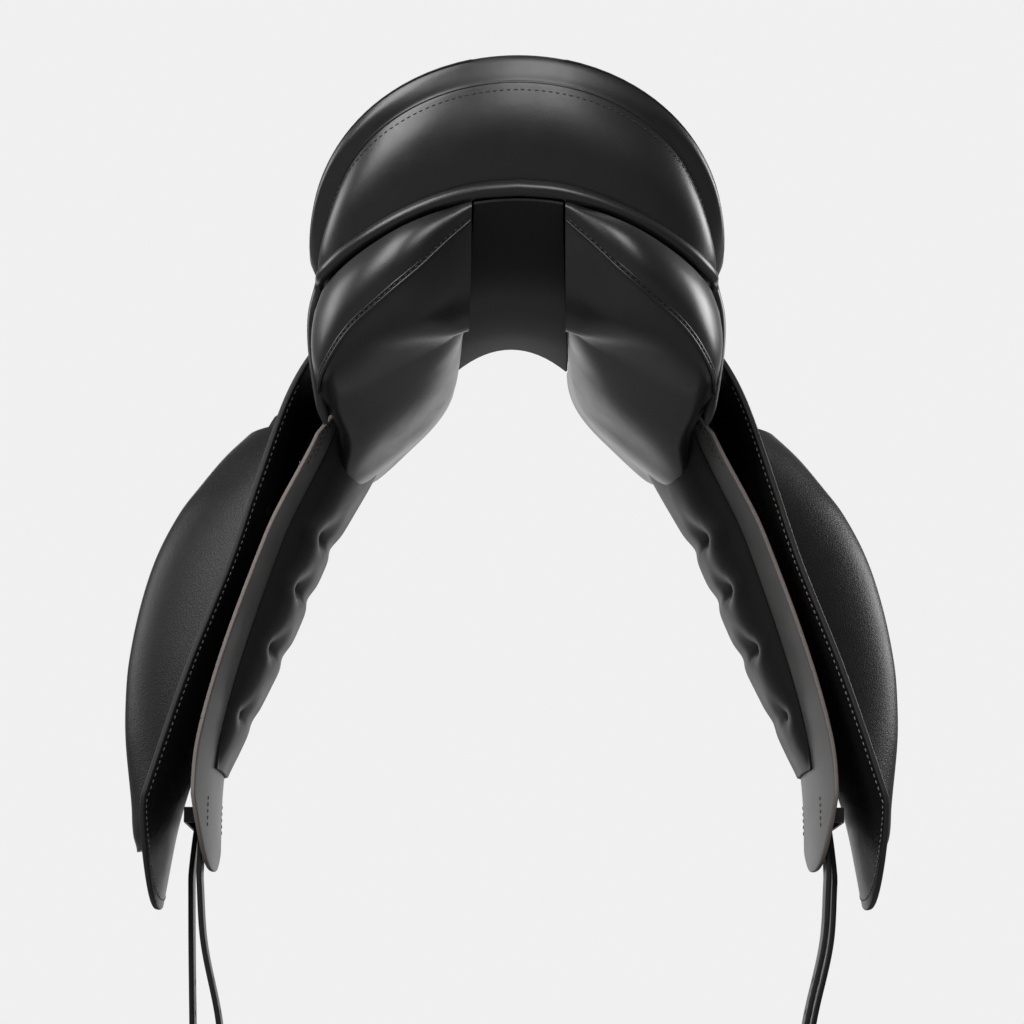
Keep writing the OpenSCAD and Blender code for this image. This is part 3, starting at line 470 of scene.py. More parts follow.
    def tree_edge(self, y):
        """Where the flap is nailed under the seat, as (x, z)."""
        slope = (self.half_w(y + 1) - self.half_w(y - 1)) / 2
        x = self.half_w(y) - self.tree_inset / max(0.25, 1 / math.sqrt(1 + slope * slope))
        u = x / self.half_w(y)
        return x, self.seat_z(u, y) - (self.cover_t + self.nail_gap + lerp(*self.foam_t, u * u))

    def pad_edges(self, b):
        """Rear and front edge of a knee pad at a share of its height."""
        return lerp(*self.pad_rear_edge, b), lerp(*self.pad_front_edge, b)

    def tuft_z(self, k):
        return self.pad_span[0] - self.tuft_first - self.tuft_pitch * k - self.tuft_spread * k * (k - 1)

    def block_y(self, a, b):
        """Place along a thigh block: a from its rear side to its front side, b from its top to its foot."""
        return lerp(*self.block_rows, b) + self.block_half_w * (1 - b / 4) * (2 * a - 1)

    def billet_x(self, place, z):
        near = self.billet_rows[place] - self.billet_w / 2
        return (self.sweat_x(near, max(z, self.sweat_tip_z)) + self.sweat_t + self.billet_gap
                + self.billet_lean[place] * smooth((self.lean_from - z) / self.lean_over))


def deselect():
    """Leaves edit mode and selects nothing, so that an operator acts on one piece only."""
    if bpy.context.object and bpy.context.object.mode != "OBJECT":
        bpy.ops.object.mode_set(mode="OBJECT")
    bpy.ops.object.select_all(action="DESELECT")


def pick(obj):
    deselect()
    obj.select_set(True)
    bpy.context.view_layer.objects.active = obj


def apply_modifier(obj, name, kind, **settings):
    """Adds one modifier to a piece and applies it."""
    pick(obj)
    modifier = obj.modifiers.new(name, kind)
    for key, value in settings.items():
        setattr(modifier, key, value)
    bpy.ops.object.modifier_apply(modifier=modifier.name)


def shaped_grid(name, rows, cols, place):
    """A grid primitive whose points go to place(u, v) in millimetres, u across and v along, both 0 to 1."""
    deselect()
    bpy.ops.mesh.primitive_grid_add(x_subdivisions=cols, y_subdivisions=rows, size=1, location=(0, 0, 0))
    obj = bpy.context.object
    obj.name = obj.data.name = name
    for vertex in obj.data.vertices:
        u, v = clamp(vertex.co.x + 0.5), clamp(vertex.co.y + 0.5)
        vertex.co = Vector(place(u, v)) * MM
    return obj


def close_up(obj, fill=False):
    """Merges the joined rims of a piece, fills its ends where asked and turns its faces outwards."""
    pick(obj)
    bpy.ops.object.mode_set(mode="EDIT")
    bpy.ops.mesh.select_all(action="SELECT")
    bpy.ops.mesh.remove_doubles(threshold=MERGE_GAP)
    if fill:
        bpy.ops.mesh.fill_holes(sides=0)
    bpy.ops.mesh.select_all(action="SELECT")
    bpy.ops.mesh.normals_make_consistent(inside=False)
    bpy.ops.object.mode_set(mode="OBJECT")


def face_towards(obj, towards):
    """Turns an open sheet so that its faces look to one side on the whole."""
    total = Vector((0, 0, 0))
    for polygon in obj.data.polygons:
        total += polygon.normal * polygon.area
    if total.dot(Vector(towards)) < 0:
        pick(obj)
        bpy.ops.object.mode_set(mode="EDIT")
        bpy.ops.mesh.select_all(action="SELECT")
        bpy.ops.mesh.flip_normals()
        bpy.ops.object.mode_set(mode="OBJECT")


def smooth_faces(obj, angle=SHARP_ANGLE):
    pick(obj)
    bpy.ops.object.shade_smooth_by_angle(angle=math.radians(angle))


def leather_sheet(name, rows, cols, place, thickness, towards, materials, keep=None):
    """Leather with round edges; its seen face lies at place(u, v), its thickness in millimetres behind."""
    obj = shaped_grid(name, rows, cols, place)
    if keep:
        drop_faces(obj, keep)
    face_towards(obj, towards)
    for material in materials:
        obj.data.materials.append(material)
    apply_modifier(obj, "Leather", "SOLIDIFY", thickness=thickness * MM, offset=-1, use_even_offset=False,
                   material_offset_rim=len(materials) - 1)
    apply_modifier(obj, "Edges", "BEVEL", width=EDGE_ROUND * thickness * MM, segments=3, limit_method="ANGLE",
                   angle_limit=math.radians(SHARP_ANGLE))
    smooth_faces(obj)
    return obj


def drop_faces(obj, keep):
    """Deletes the faces whose middle, in millimetres, keep(x, y, z) turns down."""
    pick(obj)
    bpy.ops.object.mode_set(mode="EDIT")
    bpy.ops.mesh.select_mode(type="FACE")
    bpy.ops.mesh.select_all(action="DESELECT")
    mesh = bmesh.from_edit_mesh(obj.data)
    for face in mesh.faces:
        face.select_set(not keep(*(face.calc_center_median() / MM)))
    bmesh.update_edit_mesh(obj.data)
    bpy.ops.mesh.delete(type="FACE")
    bpy.ops.mesh.select_mode(type="VERT")
    bpy.ops.object.mode_set(mode="OBJECT")


def join(pieces):
    """Joins pieces into one and applies its place, turn and size."""
    for piece in pieces:
        piece.select_set(True)
    bpy.ops.object.join()
    bpy.ops.object.transform_apply(location=True, rotation=True, scale=True)
    return bpy.context.object


def tube(name, rings, material):
    """A closed skin through rings of points in millimetres, with filled ends."""
    last, count = len(rings) - 1, len(rings[0])
    obj = shaped_grid(name, last, count, lambda u, v: rings[round(v * last)][round(u * count) % count])
    close_up(obj, fill=True)
    obj.data.materials.append(material)
    smooth_faces(obj)
    return obj


def path_frames(points):
    """Tangent, plan normal and third direction at each point of a path."""
    frames = []
    for k, point in enumerate(points):
        step = Vector(points[min(k + 1, len(points) - 1)]) - Vector(points[max(k - 1, 0)])
        tangent = step.normalized()
        away = Vector((-step.y, step.x, 0)).normalized()
        frames.append((Vector(point), tangent, away, tangent.cross(away)))
    return frames


def stitch_shape():
    """One stitch: a small flattened bead of thread, its length along X, as (points, faces) in metres."""
    deselect()
    bpy.ops.mesh.primitive_uv_sphere_add(segments=6, ring_count=4, radius=1, location=(0, 0, 0),
                                         rotation=(0, math.pi / 2, 0))
    bead = bpy.context.object
    bpy.ops.object.transform_apply(location=True, rotation=True, scale=True)
    points = [vertex.co.copy() for vertex in bead.data.vertices]
    faces = [tuple(polygon.vertices) for polygon in bead.data.polygons]
    bpy.data.objects.remove(bead)
    return points, faces


def stitch_row(name, lines, material, pitch, length=0.0034, width=0.0011, height=0.0007):
    """Stitches along lines of (point, normal) pairs in millimetres, all in one piece."""
    bead_points, bead_faces = stitch_shape()
    points, faces = [], []
    for line in lines:
        walked, wanted = 0.0, pitch / 2
        for (p, n), (q, _) in zip(line, line[1:]):
            start, end = Vector(p) * MM, Vector(q) * MM
            gap = (end - start).length
            while gap > 1e-9 and wanted <= walked + gap:
                along = (end - start).normalized()
                up = Vector(n).normalized()
                up = (up - along * up.dot(along)).normalized()
                across = up.cross(along)
                centre = start + along * (wanted - walked)
                base = len(points)
                for bead in bead_points:
                    points.append(centre + along * bead.x * length / 2 + across * bead.y * width / 2
                                  + up * bead.z * height)
                faces.extend(tuple(base + i for i in face) for face in bead_faces)
                wanted += pitch
            walked += gap
    mesh = bpy.data.meshes.new(name)
    mesh.from_pydata(points, [], faces)
    obj = bpy.data.objects.new(name, mesh)
    bpy.context.scene.collection.objects.link(obj)
    close_up(obj)
    obj.data.materials.append(material)
    smooth_faces(obj, 80)
    return obj


def surface_line(place, towards, points):
    """Points (u, v) on a surface as (point, normal) pairs; the normal looks towards a side."""
    step = 0.004
    line = []
    for u, v in points:
        centre = Vector(place(u, v))
        du = Vector(place(u + step, v)) - Vector(place(u - step, v))
        dv = Vector(place(u, v + step)) - Vector(place(u, v - step))
        normal = du.cross(dv).normalized()
        if normal.dot(Vector(towards)) < 0:
            normal = -normal
        line.append((tuple(centre), tuple(normal)))
    return line


def shape_of(context):
    return SaddleShape(context.scene.saddle_sizes)


def settle(obj, body, slot, *nodes):
    """A finished piece rides on its body and stands for CAD nodes; slot is not used."""
    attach(obj, body)
    if nodes:
        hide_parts(*nodes)


def shader(material):
    nodes = material.node_tree.nodes
    return next(node for node in nodes if node.type == "BSDF_PRINCIPLED")


def noise(material, scale, detail=3.0, kind="ShaderNodeTexNoise"):
    """A texture node on the piece's own coordinates."""
    tree = material.node_tree
    coordinates = tree.nodes.new("ShaderNodeTexCoord")
    texture = tree.nodes.new(kind)
    texture.inputs["Scale"].default_value = scale
    if "Detail" in texture.inputs:
        texture.inputs["Detail"].default_value = detail
    tree.links.new(coordinates.outputs["Object"], texture.inputs["Vector"])
    return texture


def ranged(material, value, low, high):
    """A texture value spread between two limits."""
    tree = material.node_tree
    node = tree.nodes.new("ShaderNodeMapRange")
    node.inputs["To Min"].default_value = low
    node.inputs["To Max"].default_value = high
    tree.links.new(value, node.inputs["Value"])
    return node.outputs["Result"]


def bump(material, height, strength, distance, under=None):
    """Relief of a surface; under is a coarser relief that it lies on."""
    tree = material.node_tree
    node = tree.nodes.new("ShaderNodeBump")
    node.inputs["Strength"].default_value = strength
    node.inputs["Distance"].default_value = distance
    tree.links.new(height, node.inputs["Height"])
    if under:
        tree.links.new(under, node.inputs["Normal"])
    return node.outputs["Normal"]


def tinted(material, value, low, high):
    """A colour that runs between two shades by a texture value."""
    tree = material.node_tree
    ramp = tree.nodes.new("ShaderNodeValToRGB")
    ramp.color_ramp.elements[0].color = low
    ramp.color_ramp.elements[1].color = high
    tree.links.new(value, ramp.inputs["Fac"])
    return ramp.outputs["Color"]


def new_material(name):
    material = bpy.data.materials.new(name)
    material.use_nodes = True
    return material


def dress(material, colour, roughness, normal=None):
    tree = material.node_tree
    surface = shader(material)
    tree.links.new(colour, surface.inputs["Base Color"])
    tree.links.new(roughness, surface.inputs["Roughness"])
    if normal:
        tree.links.new(normal, surface.inputs["Normal"])


def sheen(material, level):
    shader(material).inputs["Specular IOR Level"].default_value = level


def brighter(colour, factor):
    return tuple(min(1.0, c * factor) for c in colour[:3]) + (1,)


def polished_leather(material, colours, rough, level):
    """Smooth dyed leather with fine pores and creases."""
    wear = noise(material, 38, 4).outputs["Fac"]
    pores = noise(material, 900, 2).outputs["Fac"]
    creases = noise(material, 160, 5).outputs["Fac"]
    relief = bump(material, creases, 0.12, 0.0005)
    relief = bump(material, pores, 0.16, 0.00025, relief)
    dress(material, tinted(material, wear, tuple(colours.leather), tuple(colours.grain)),
          ranged(material, wear, *rough), relief)
    sheen(material, level)


def grained_leather(material, colours, rough):
    """Dyed leather with a pebbled grain."""
    pebbles = noise(material, 620, kind="ShaderNodeTexVoronoi").outputs["Distance"]
    uneven = noise(material, 55, 4).outputs["Fac"]
    relief = bump(material, uneven, 0.15, 0.0008)
    relief = bump(material, pebbles, 0.24, 0.0005, relief)
    dress(material, tinted(material, pebbles, tuple(colours.grain), tuple(colours.leather)),
          ranged(material, uneven, *rough), relief)
    sheen(material, 0.2)


def sweat_leather_painted_sheen(material, colours):
    """The glossy horse side of the sweat flaps; its light grey base colour is a painted reflection."""
    wear = noise(material, 26, 5).outputs["Fac"]
    fibres = noise(material, 700, 3).outputs["Fac"]
    dress(material, tinted(material, wear, brighter(colours.sweat, 0.55), tuple(colours.sweat)),
          ranged(material, wear, 0.36, 0.5), bump(material, fibres, 0.12, 0.0003))
    sheen(material, 0.45)


def raw_edge(material, colour):
    """The fibres of a cut edge."""
    fibres = noise(material, 700, 4).outputs["Fac"]
    dress(material, tinted(material, fibres, brighter(colour, 0.45), tuple(colour)),
          ranged(material, fibres, 0.55, 0.75), bump(material, fibres, 0.3, 0.0003))


def sewing_thread(material, colour):
    """Twisted thread."""
    twist = noise(material, 1500, 2).outputs["Fac"]
    dress(material, tinted(material, twist, brighter(colour, 0.5), tuple(colour)),
          ranged(material, twist, 0.45, 0.65))


def channel_lining(material, colours):
    """Matt leather with a short nap."""
    nap = noise(material, 1200, 3).outputs["Fac"]
    dress(material, tinted(material, nap, tuple(colours.leather), tuple(colours.grain)),
          ranged(material, nap, 0.6, 0.8), bump(material, nap, 0.2, 0.0003))
    sheen(material, 0.3)


def tree_wood(material, colours):
    """Wood with uneven rings."""
    rings = noise(material, 60, 6).outputs["Fac"]
    dress(material, tinted(material, rings, brighter(colours.wood, 0.6), tuple(colours.wood)),
          ranged(material, rings, 0.45, 0.65), bump(material, rings, 0.2, 0.0006))


def webbing(material, colours):
    """Coarse woven web."""
    weave = noise(material, 900, 2, "ShaderNodeTexVoronoi").outputs["Distance"]
    dress(material, tinted(material, weave, tuple(colours.webbing), brighter(colours.webbing, 0.5)),
          ranged(material, weave, 0.75, 0.9), bump(material, weave, 0.4, 0.0005))


def steel(material, colours, shine, rough):
    """Steel with fine scratches."""
    scratches = noise(material, 220, 6).outputs["Fac"]
    dress(material, tinted(material, scratches, brighter(colours.steel, 0.8), brighter(colours.steel, shine)),
          ranged(material, scratches, *rough), bump(material, scratches, 0.08, 0.0003))
    shader(material).inputs["Metallic"].default_value = 1.0


FINISHES = {
    "Smooth leather": lambda material, colours: polished_leather(material, colours, (0.26, 0.42), 0.55),
    "Strap leather": lambda material, colours: polished_leather(material, colours, (0.36, 0.52), 0.25),
    "Grained leather": lambda material, colours: grained_leather(material, colours, (0.3, 0.4)),
    "Matt leather": lambda material, colours: grained_leather(material, colours, (0.58, 0.7)),
    # The sweat flaps' light grey base colour is a painted reflection.
    "Sweat leather with painted sheen": sweat_leather_painted_sheen,
    "Cut edge": lambda material, colours: raw_edge(material, colours.cut_edge),
    # The sweat flaps' rims take this pale colour as a painted edge highlight.
    "Painted edge highlight": lambda material, colours: raw_edge(material, colours.pale_thread_and_edge_highlight),
    "Dark thread": lambda material, colours: sewing_thread(material, colours.thread),
    "Pale thread": lambda material, colours: sewing_thread(material, colours.pale_thread_and_edge_highlight),
    "Channel lining": channel_lining,
    "Tree wood": tree_wood,
    "Webbing": webbing,
    "Steel": lambda material, colours: steel(material, colours, 1.0, (0.28, 0.42)),
    "Bright steel": lambda material, colours: steel(material, colours, 1.5, (0.12, 0.22)),
}


def finish(context, name):
    """The named finish, made when it is first asked for."""
    if name not in bpy.data.materials:
        FINISHES[name](new_material(name), context.scene.saddle_colours)
    return bpy.data.materials[name]


def sew(context, name, lines, thread, body, slot):
    """Stitches of one thread along lines on a surface, riding on a body."""
    pitch = context.scene.saddle_sizes.stitch_pitch
    settle(stitch_row(name, lines, finish(context, thread), pitch), body, slot)


class SADDLE_OT_stage(bpy.types.Operator):
    """Camera, lights, floor and backdrop of the studio"""
    bl_idname = "saddle.stage"
    bl_label = "Stage"

    photo_turn = -0.75
    photo_rise = -10.0
    photo_distance = 2.6
    photo_aim = (-0.002, 0.0, -0.091)
    photo_lens = 114.5
    sensor_width = 36
    world_strength = 0.25
    floor_size = 14.0
    floor_gap = 0.02
    floor_shade, floor_roughness = 0.25, 0.9
    lamps = (("Key", (-1.25, -1.35, 0.95), 1.1, 34), ("Back", (0.2, -1.8, 0.75), 0.7, 12),
             ("Top", (0.3, 0.4, 2.2), 2.0, 24), ("Side left", (-2.0, 0.4, 0.5), 1.0, 14),
             ("Side right", (2.0, 0.6, 0.5), 1.0, 30), ("Front", (0.0, 2.6, -0.1), 2.2, 15))

    def execute(self, context):
        self.add_camera(context)
        self.add_world(context)
        self.add_floor(context)
        for name, place, size, power in self.lamps:
            self.add_lamp(name, place, size, power)
        context.scene.view_settings.view_transform = "Standard"
        return {"FINISHED"}

    def add_camera(self, context):
        turn, rise = math.radians(self.photo_turn), math.radians(self.photo_rise)
        back = Vector((math.sin(turn) * math.cos(rise), -math.cos(turn) * math.cos(rise), math.sin(rise)))
        deselect()
        bpy.ops.object.camera_add(location=Vector(self.photo_aim) + back * self.photo_distance)
        camera = context.object
        camera.rotation_mode = "QUATERNION"
        camera.rotation_quaternion = (-back).to_track_quat("-Z", "Y")
        camera.data.lens = self.photo_lens
        camera.data.sensor_width = self.sensor_width
        context.scene.camera = camera

    def pale_to_camera(self, tree, shaded, pale):
        """Mixes a shaded look with a plain pale one that only the camera sees."""
        path = tree.nodes.new("ShaderNodeLightPath")
        mix = tree.nodes.new("ShaderNodeMixShader")
        tree.links.new(path.outputs["Is Camera Ray"], mix.inputs["Fac"])
        tree.links.new(shaded, mix.inputs[1])
        tree.links.new(pale, mix.inputs[2])
        return mix.outputs["Shader"]

    def add_world(self, context):
        world = bpy.data.worlds.new("Studio")
        world.use_nodes = True
        tree = world.node_tree
        tree.nodes.clear()
        colour = tuple(context.scene.saddle_colours.backdrop)
        light = tree.nodes.new("ShaderNodeBackground")
        light.inputs["Color"].default_value = colour
        light.inputs["Strength"].default_value = self.world_strength
        pale = tree.nodes.new("ShaderNodeBackground")
        pale.inputs["Color"].default_value = colour
        output = tree.nodes.new("ShaderNodeOutputWorld")
        tree.links.new(self.pale_to_camera(tree, light.outputs["Background"], pale.outputs["Background"]),
                       output.inputs["Surface"])
        context.scene.world = world

    def add_floor(self, context):
        deselect()
        height = CAD_BOX[0][2] - self.floor_gap
        bpy.ops.mesh.primitive_plane_add(size=self.floor_size, location=(0, 0, height))
        floor = context.object
        floor.name = "Floor"
        bpy.ops.object.transform_apply(location=True)
        material = new_material("Pale floor")
        tree = material.node_tree
        surface = shader(material)
        backdrop = context.scene.saddle_colours.backdrop
        surface.inputs["Base Color"].default_value = brighter(backdrop, self.floor_shade)
        surface.inputs["Roughness"].default_value = self.floor_roughness
        pale = tree.nodes.new("ShaderNodeEmission")
        pale.inputs["Color"].default_value = tuple(backdrop)
        output = next(node for node in tree.nodes if node.type == "OUTPUT_MATERIAL")
        tree.links.new(self.pale_to_camera(tree, surface.outputs["BSDF"], pale.outputs["Emission"]),
                       output.inputs["Surface"])
        floor.data.materials.append(material)

    def add_lamp(self, name, place, size, power):
        deselect()
        bpy.ops.object.light_add(type="AREA", location=place)
        lamp = bpy.context.object
        lamp.name = name
        lamp.data.size = size
        lamp.data.energy = power
        lamp.visible_camera = False
        lamp.rotation_mode = "QUATERNION"
        lamp.rotation_quaternion = (Vector(self.photo_aim) - Vector(place)).to_track_quat("-Z", "Y")


class SADDLE_OT_seat(bpy.types.Operator):
    """Seat leather, rolled edge, cantle back and pommel facing"""
    bl_idname = "saddle.seat"
    bl_label = "Seat"

    cover_inset = 2.0
    side_reach, side_turn, side_hang = 34.0, 0.55, 8.0
    back_t, back_belly = 3, 5
    stitch_inset, stitch_drop = 0.01, 0.09
    facing_t = 2.5
    facing_tilt, facing_stand, facing_level = 0.15, 3.2, 150
    facing_foot_z, facing_arch, facing_half_w = 98, 22, 58

    def execute(self, context):
        shape = shape_of(context)
        smooth_black = finish(context, "Smooth leather")
        self.add_cover(shape, finish(context, "Matt leather"))
        self.add_roll(shape, smooth_black)
        self.add_cantle_back(context, shape, smooth_black)
        self.add_facing(shape, smooth_black)
        return {"FINISHED"}

    def add_cover(self, shape, material):
        def place(u, v):
            y = lerp(-shape.seat_back + self.cover_inset, shape.seat_front, v**1.3)
            across = 2 * u - 1
            return (across * shape.half_w(y), y, shape.seat_z(across, y))
        cover = leather_sheet("seat_leather", 90, 56, place, shape.cover_t, (0, 0, 1), [material])
        settle(cover, "saddle", "smooth_leather", "seat_cover", "seat_foam")

    def add_roll(self, shape, material):
        def seat_rise(point, away, inset):
            q = point - away * inset
            y = clamp(q.y, -shape.seat_back + 0.5, shape.seat_front)
            width = max(shape.half_w(y), 1.0)
            return shape.seat_z(min(1.0, abs(q.x) / width), y) - point.z
        rings = []
        for point, _, away, _ in path_frames(shape.rim_path()):
            side = math.exp(-(((point.y + shape.wide_back) / self.side_reach) ** 2))
            turn = shape.roll_turn(point.y) * (1 - self.side_turn * side)
            hang = shape.roll_hang(point.y) + self.side_hang * side
            inner = min(0.0, seat_rise(point, away, 5))
            section = [(-5, inner + 0.3), (-2, min(0.0, seat_rise(point, away, 2)) + 0.9), (0.4, -0.6),
                       (1.6, -0.2 * hang), (1.8, -0.42 * hang), (1.2 - 0.4 * turn, -0.68 * hang),
                       (0.2 - 0.8 * turn, -0.9 * hang), (-turn, -hang), (-turn - 3, -hang + 0.5),
                       (-turn / 2 - 5, min(-0.7 * hang, inner - 4))]
            rings.append([tuple(point + away * a + Vector((0, 0, h))) for a, h in spline(section, 28)])
        roll = tube("seat_roll_leather", rings, material)
        settle(roll, "saddle", "smooth_leather", "seat_roll")

    def add_cantle_back(self, context, shape, material):
        frames = path_frames(shape.rim_path())
        count = shape.rim_cantle_steps

        def place(u, v):
            point, _, away, _ = frames[shape.rim_side_steps + round(u * count)]
            g = max(0.0, math.cos(math.pi * (0.5 - u)))
            sign = 1 if u <= 0.5 else -1
            hang = Vector((0, 0, shape.roll_hang(point.y) - 1))
            seam = point - away * (shape.roll_turn(point.y) + 0.4) - hang
            foot = Vector(shape.welt_point(sign, g)) + Vector((0, 0, shape.welt_r - 0.5))
            return tuple(seam.lerp(foot, v) + away * self.back_belly * math.sin(math.pi * v))
        back = leather_sheet("cantle_back_leather", 20, count, place, self.back_t, (0, -1, 0), [material])
        settle(back, "saddle", "smooth_leather", "cantle_back")
        line = surface_line(lambda u, v: place(clamp(u), clamp(v)), (0, -1, 0.2),
                            [(lerp(self.stitch_inset, 1 - self.stitch_inset, i / 70), self.stitch_drop)
                             for i in range(71)])
        sew(context, "cantle_stitches", [line], "Dark thread", "saddle", "smooth_leather")

    def add_facing(self, shape, material):
        def place(u, v):
            across = 2 * u - 1
            top = shape.seat_z(across, shape.seat_front) - shape.cover_t - 1
            z = lerp(top, self.facing_foot_z - self.facing_arch * across * across, v)
            x = across * lerp(shape.half_w(shape.seat_front) + 2, self.facing_half_w, v**0.7)
            lean = (z - self.facing_level) * self.facing_tilt
            return (x, shape.seat_front + self.facing_stand + self.facing_t + lean, z)
        facing = leather_sheet("pommel_leather", 20, 36, place, self.facing_t, (0, 1, 0), [material])
        settle(facing, "saddle", "smooth_leather", "pommel_facing")


class SADDLE_OT_panels(bpy.types.Operator):
    """Flocked panels, channel lining and the welt between panels and cantle"""
    bl_idname = "saddle.panels"
    bl_label = "Panels"

    rear_rings, rows, under, over = 40, 60, 44, 12
    end_step, end_share = 1.5, 0.04
    soft_reach, soft_from, soft_over = 14.0, -100.0, 70.0
    seam_steps, seam_side_steps, seam_end_y = 56, 8, -112.0
    seam_sweep, seam_fall = 0.985, -0.15
    lip_r, lip_offset, lip_rise, stitch_rise = 1.1, 1.7, 0.4, 0.9
    lining_t, lining_inset, lining_gap = 2.5, 5.0, 0.4
    welt_tail = [(147, -98, -40), (152, -104, -14), (156, -112, 18), (155.5, -121, 42)]
    welt_heart_y = -40.0
    welt_swell = (0.84, 1.18)

    def execute(self, context):
        shape = shape_of(context)
        smooth_black = finish(context, "Smooth leather")
        for side, sign in SIDES.items():
            self.add_panel(context, shape, side, sign, smooth_black)
        self.add_lining(shape, finish(context, "Channel lining"))
        self.add_welt(shape, smooth_black)
        return {"FINISHED"}

    def ring(self, shape, sign, y, share):
        points = [shape.panel_round(y, j / self.under, share) for j in range(self.under + 1)]
        points += [shape.panel_at(y, 1 - j / self.over, 0) for j in range(1, self.over)]
        return [(sign * x, y0, z) for x, y0, z in points]

    def rear_ring(self, shape, sign, angle):
        """A section of the rounded rear end: the widest section turned about the end of the channel wall."""
        y = -shape.wide_back
        points = [shape.rear_at(shape.panel_round(y, j / self.under), angle) for j in range(self.under + 1)]
        points += [shape.rear_at(shape.panel_at(y, 1 - j / self.over, 0), angle, 1)
                   for j in range(1, self.over)]
        return [(sign * x, y0, z) for x, y0, z in points]

    def add_panel(self, context, shape, side, sign, material):
        start, end = -shape.wide_back, shape.panel_front
        turns = [math.pi / 2 * (1 - i / self.rear_rings) for i in range(self.rear_rings)]
        rings = [self.rear_ring(shape, sign, angle) for angle in turns]
        for i in range(self.rows + 1):
            t = i / self.rows
            rings.append(self.ring(shape, sign, lerp(start, end, lerp(t, math.sin(math.pi / 2 * t), 0.6)), 1))
        rings.append(self.ring(shape, sign, end + self.end_step, self.end_share))
        panel = tube(f"panel_{side}", rings, material)
        soft, inner = panel.vertex_groups.new(name="Soft"), shape.channel_x(-shape.wide_back)
        for vertex in panel.data.vertices:
            x, y = abs(vertex.co.x) / MM, vertex.co.y / MM
            weight = max(smooth((x - inner) / self.soft_reach), smooth((y - self.soft_from) / self.soft_over))
            soft.add([vertex.index], weight, "REPLACE")
        apply_modifier(panel, "Soften", "SMOOTH", factor=0.5, iterations=8, vertex_group=soft.name)
        smooth_faces(panel, 70)
        settle(panel, "saddle", "smooth_leather", f"panel_cover_{side}", f"panel_flock_{side}")
        self.add_gusset(context, shape, side, sign, material)

    def add_gusset(self, context, shape, side, sign, material):
        """The raised seam round the rear of a panel, and its stitches."""
        path, normals = [], []
        widest = shape.panel_round(-shape.wide_back, shape.gusset_turn(-shape.wide_back))
        for i in range(self.seam_steps):
            angle = math.pi / 2 * (1 - i / self.seam_steps) * self.seam_sweep
            x, y, z = shape.rear_at(widest, angle, 0)
            path.append((sign * x, y, z))
            normals.append((sign * math.cos(angle), -math.sin(angle), self.seam_fall))
        for i in range(self.seam_side_steps):
            y = lerp(-shape.wide_back, self.seam_end_y, i / (self.seam_side_steps - 1))
            x, _, z = shape.panel_round(y, shape.gusset_turn(y))
            path.append((sign * x, y, z))
            normals.append((sign, 0, self.seam_fall))
        for lip, offset in (("upper", self.lip_offset), ("lower", -self.lip_offset)):
            rings = []
            for (point, tangent, _, _), normal in zip(path_frames(path), normals):
                out = (Vector(normal) - tangent * Vector(normal).dot(tangent)).normalized()
                up = tangent.cross(out)
                rings.append([tuple(point + out * (self.lip_r * math.cos(q) + self.lip_rise)
                                    + up * (offset + self.lip_r * math.sin(q)))
                              for q in [2 * math.pi * k / 10 for k in range(10)]])
            settle(tube(f"gusset_{side}_{lip}_lip", rings, material), "saddle", "smooth_leather")
        line = [(tuple(Vector(p) + Vector(n).normalized() * self.stitch_rise), n)
                for p, n in zip(path, normals)]
        sew(context, f"gusset_{side}_stitches", [line], "Dark thread", "saddle", "smooth_leather")

    def add_lining(self, shape, material):
        def place(u, v):
            across = 2 * u - 1
            y = lerp(-shape.welt_back, shape.panel_front - self.lining_inset, v)
            return (across * (shape.channel_x(y) - self.lining_gap), y,
                    curve(shape.lining_line, y) + curve(shape.lining_arch, y) * (1 - across * across))
        lining = leather_sheet("channel_leather", 50, 16, place, self.lining_t, (0, 0, -1), [material])
        settle(lining, "saddle", "smooth_leather", "channel_lining")

    def add_welt(self, shape, material):
        half = [shape.welt_point(1, math.cos(math.pi / 2 * (1 - i / 8))) for i in range(9)]
        right = spline(self.welt_tail + half, 70)
        path = right + [(-x, y, z) for x, y, z in reversed(right[:-1])]
        heart = Vector((0, self.welt_heart_y, 0))
        rings = []
        for k, (point, tangent, _, _) in enumerate(path_frames(path)):
            out = point - heart
            out.z = 0
            out = (out - tangent * out.dot(tangent)).normalized()
            up = tangent.cross(out)
            end = min(k, len(path) - 1 - k)
            swell = lerp(*self.welt_swell, smooth(2 * end / len(path)))
            r = shape.welt_r * swell * math.sqrt(clamp((end + 0.3) / 3))
            rings.append([tuple(point + (out * math.cos(q) + up * math.sin(q)) * r)
                          for q in [2 * math.pi * i / 16 for i in range(16)]])
        welt = tube("panel_welt_leather", rings, material)
        settle(welt, "saddle", "smooth_leather", "panel_welt")


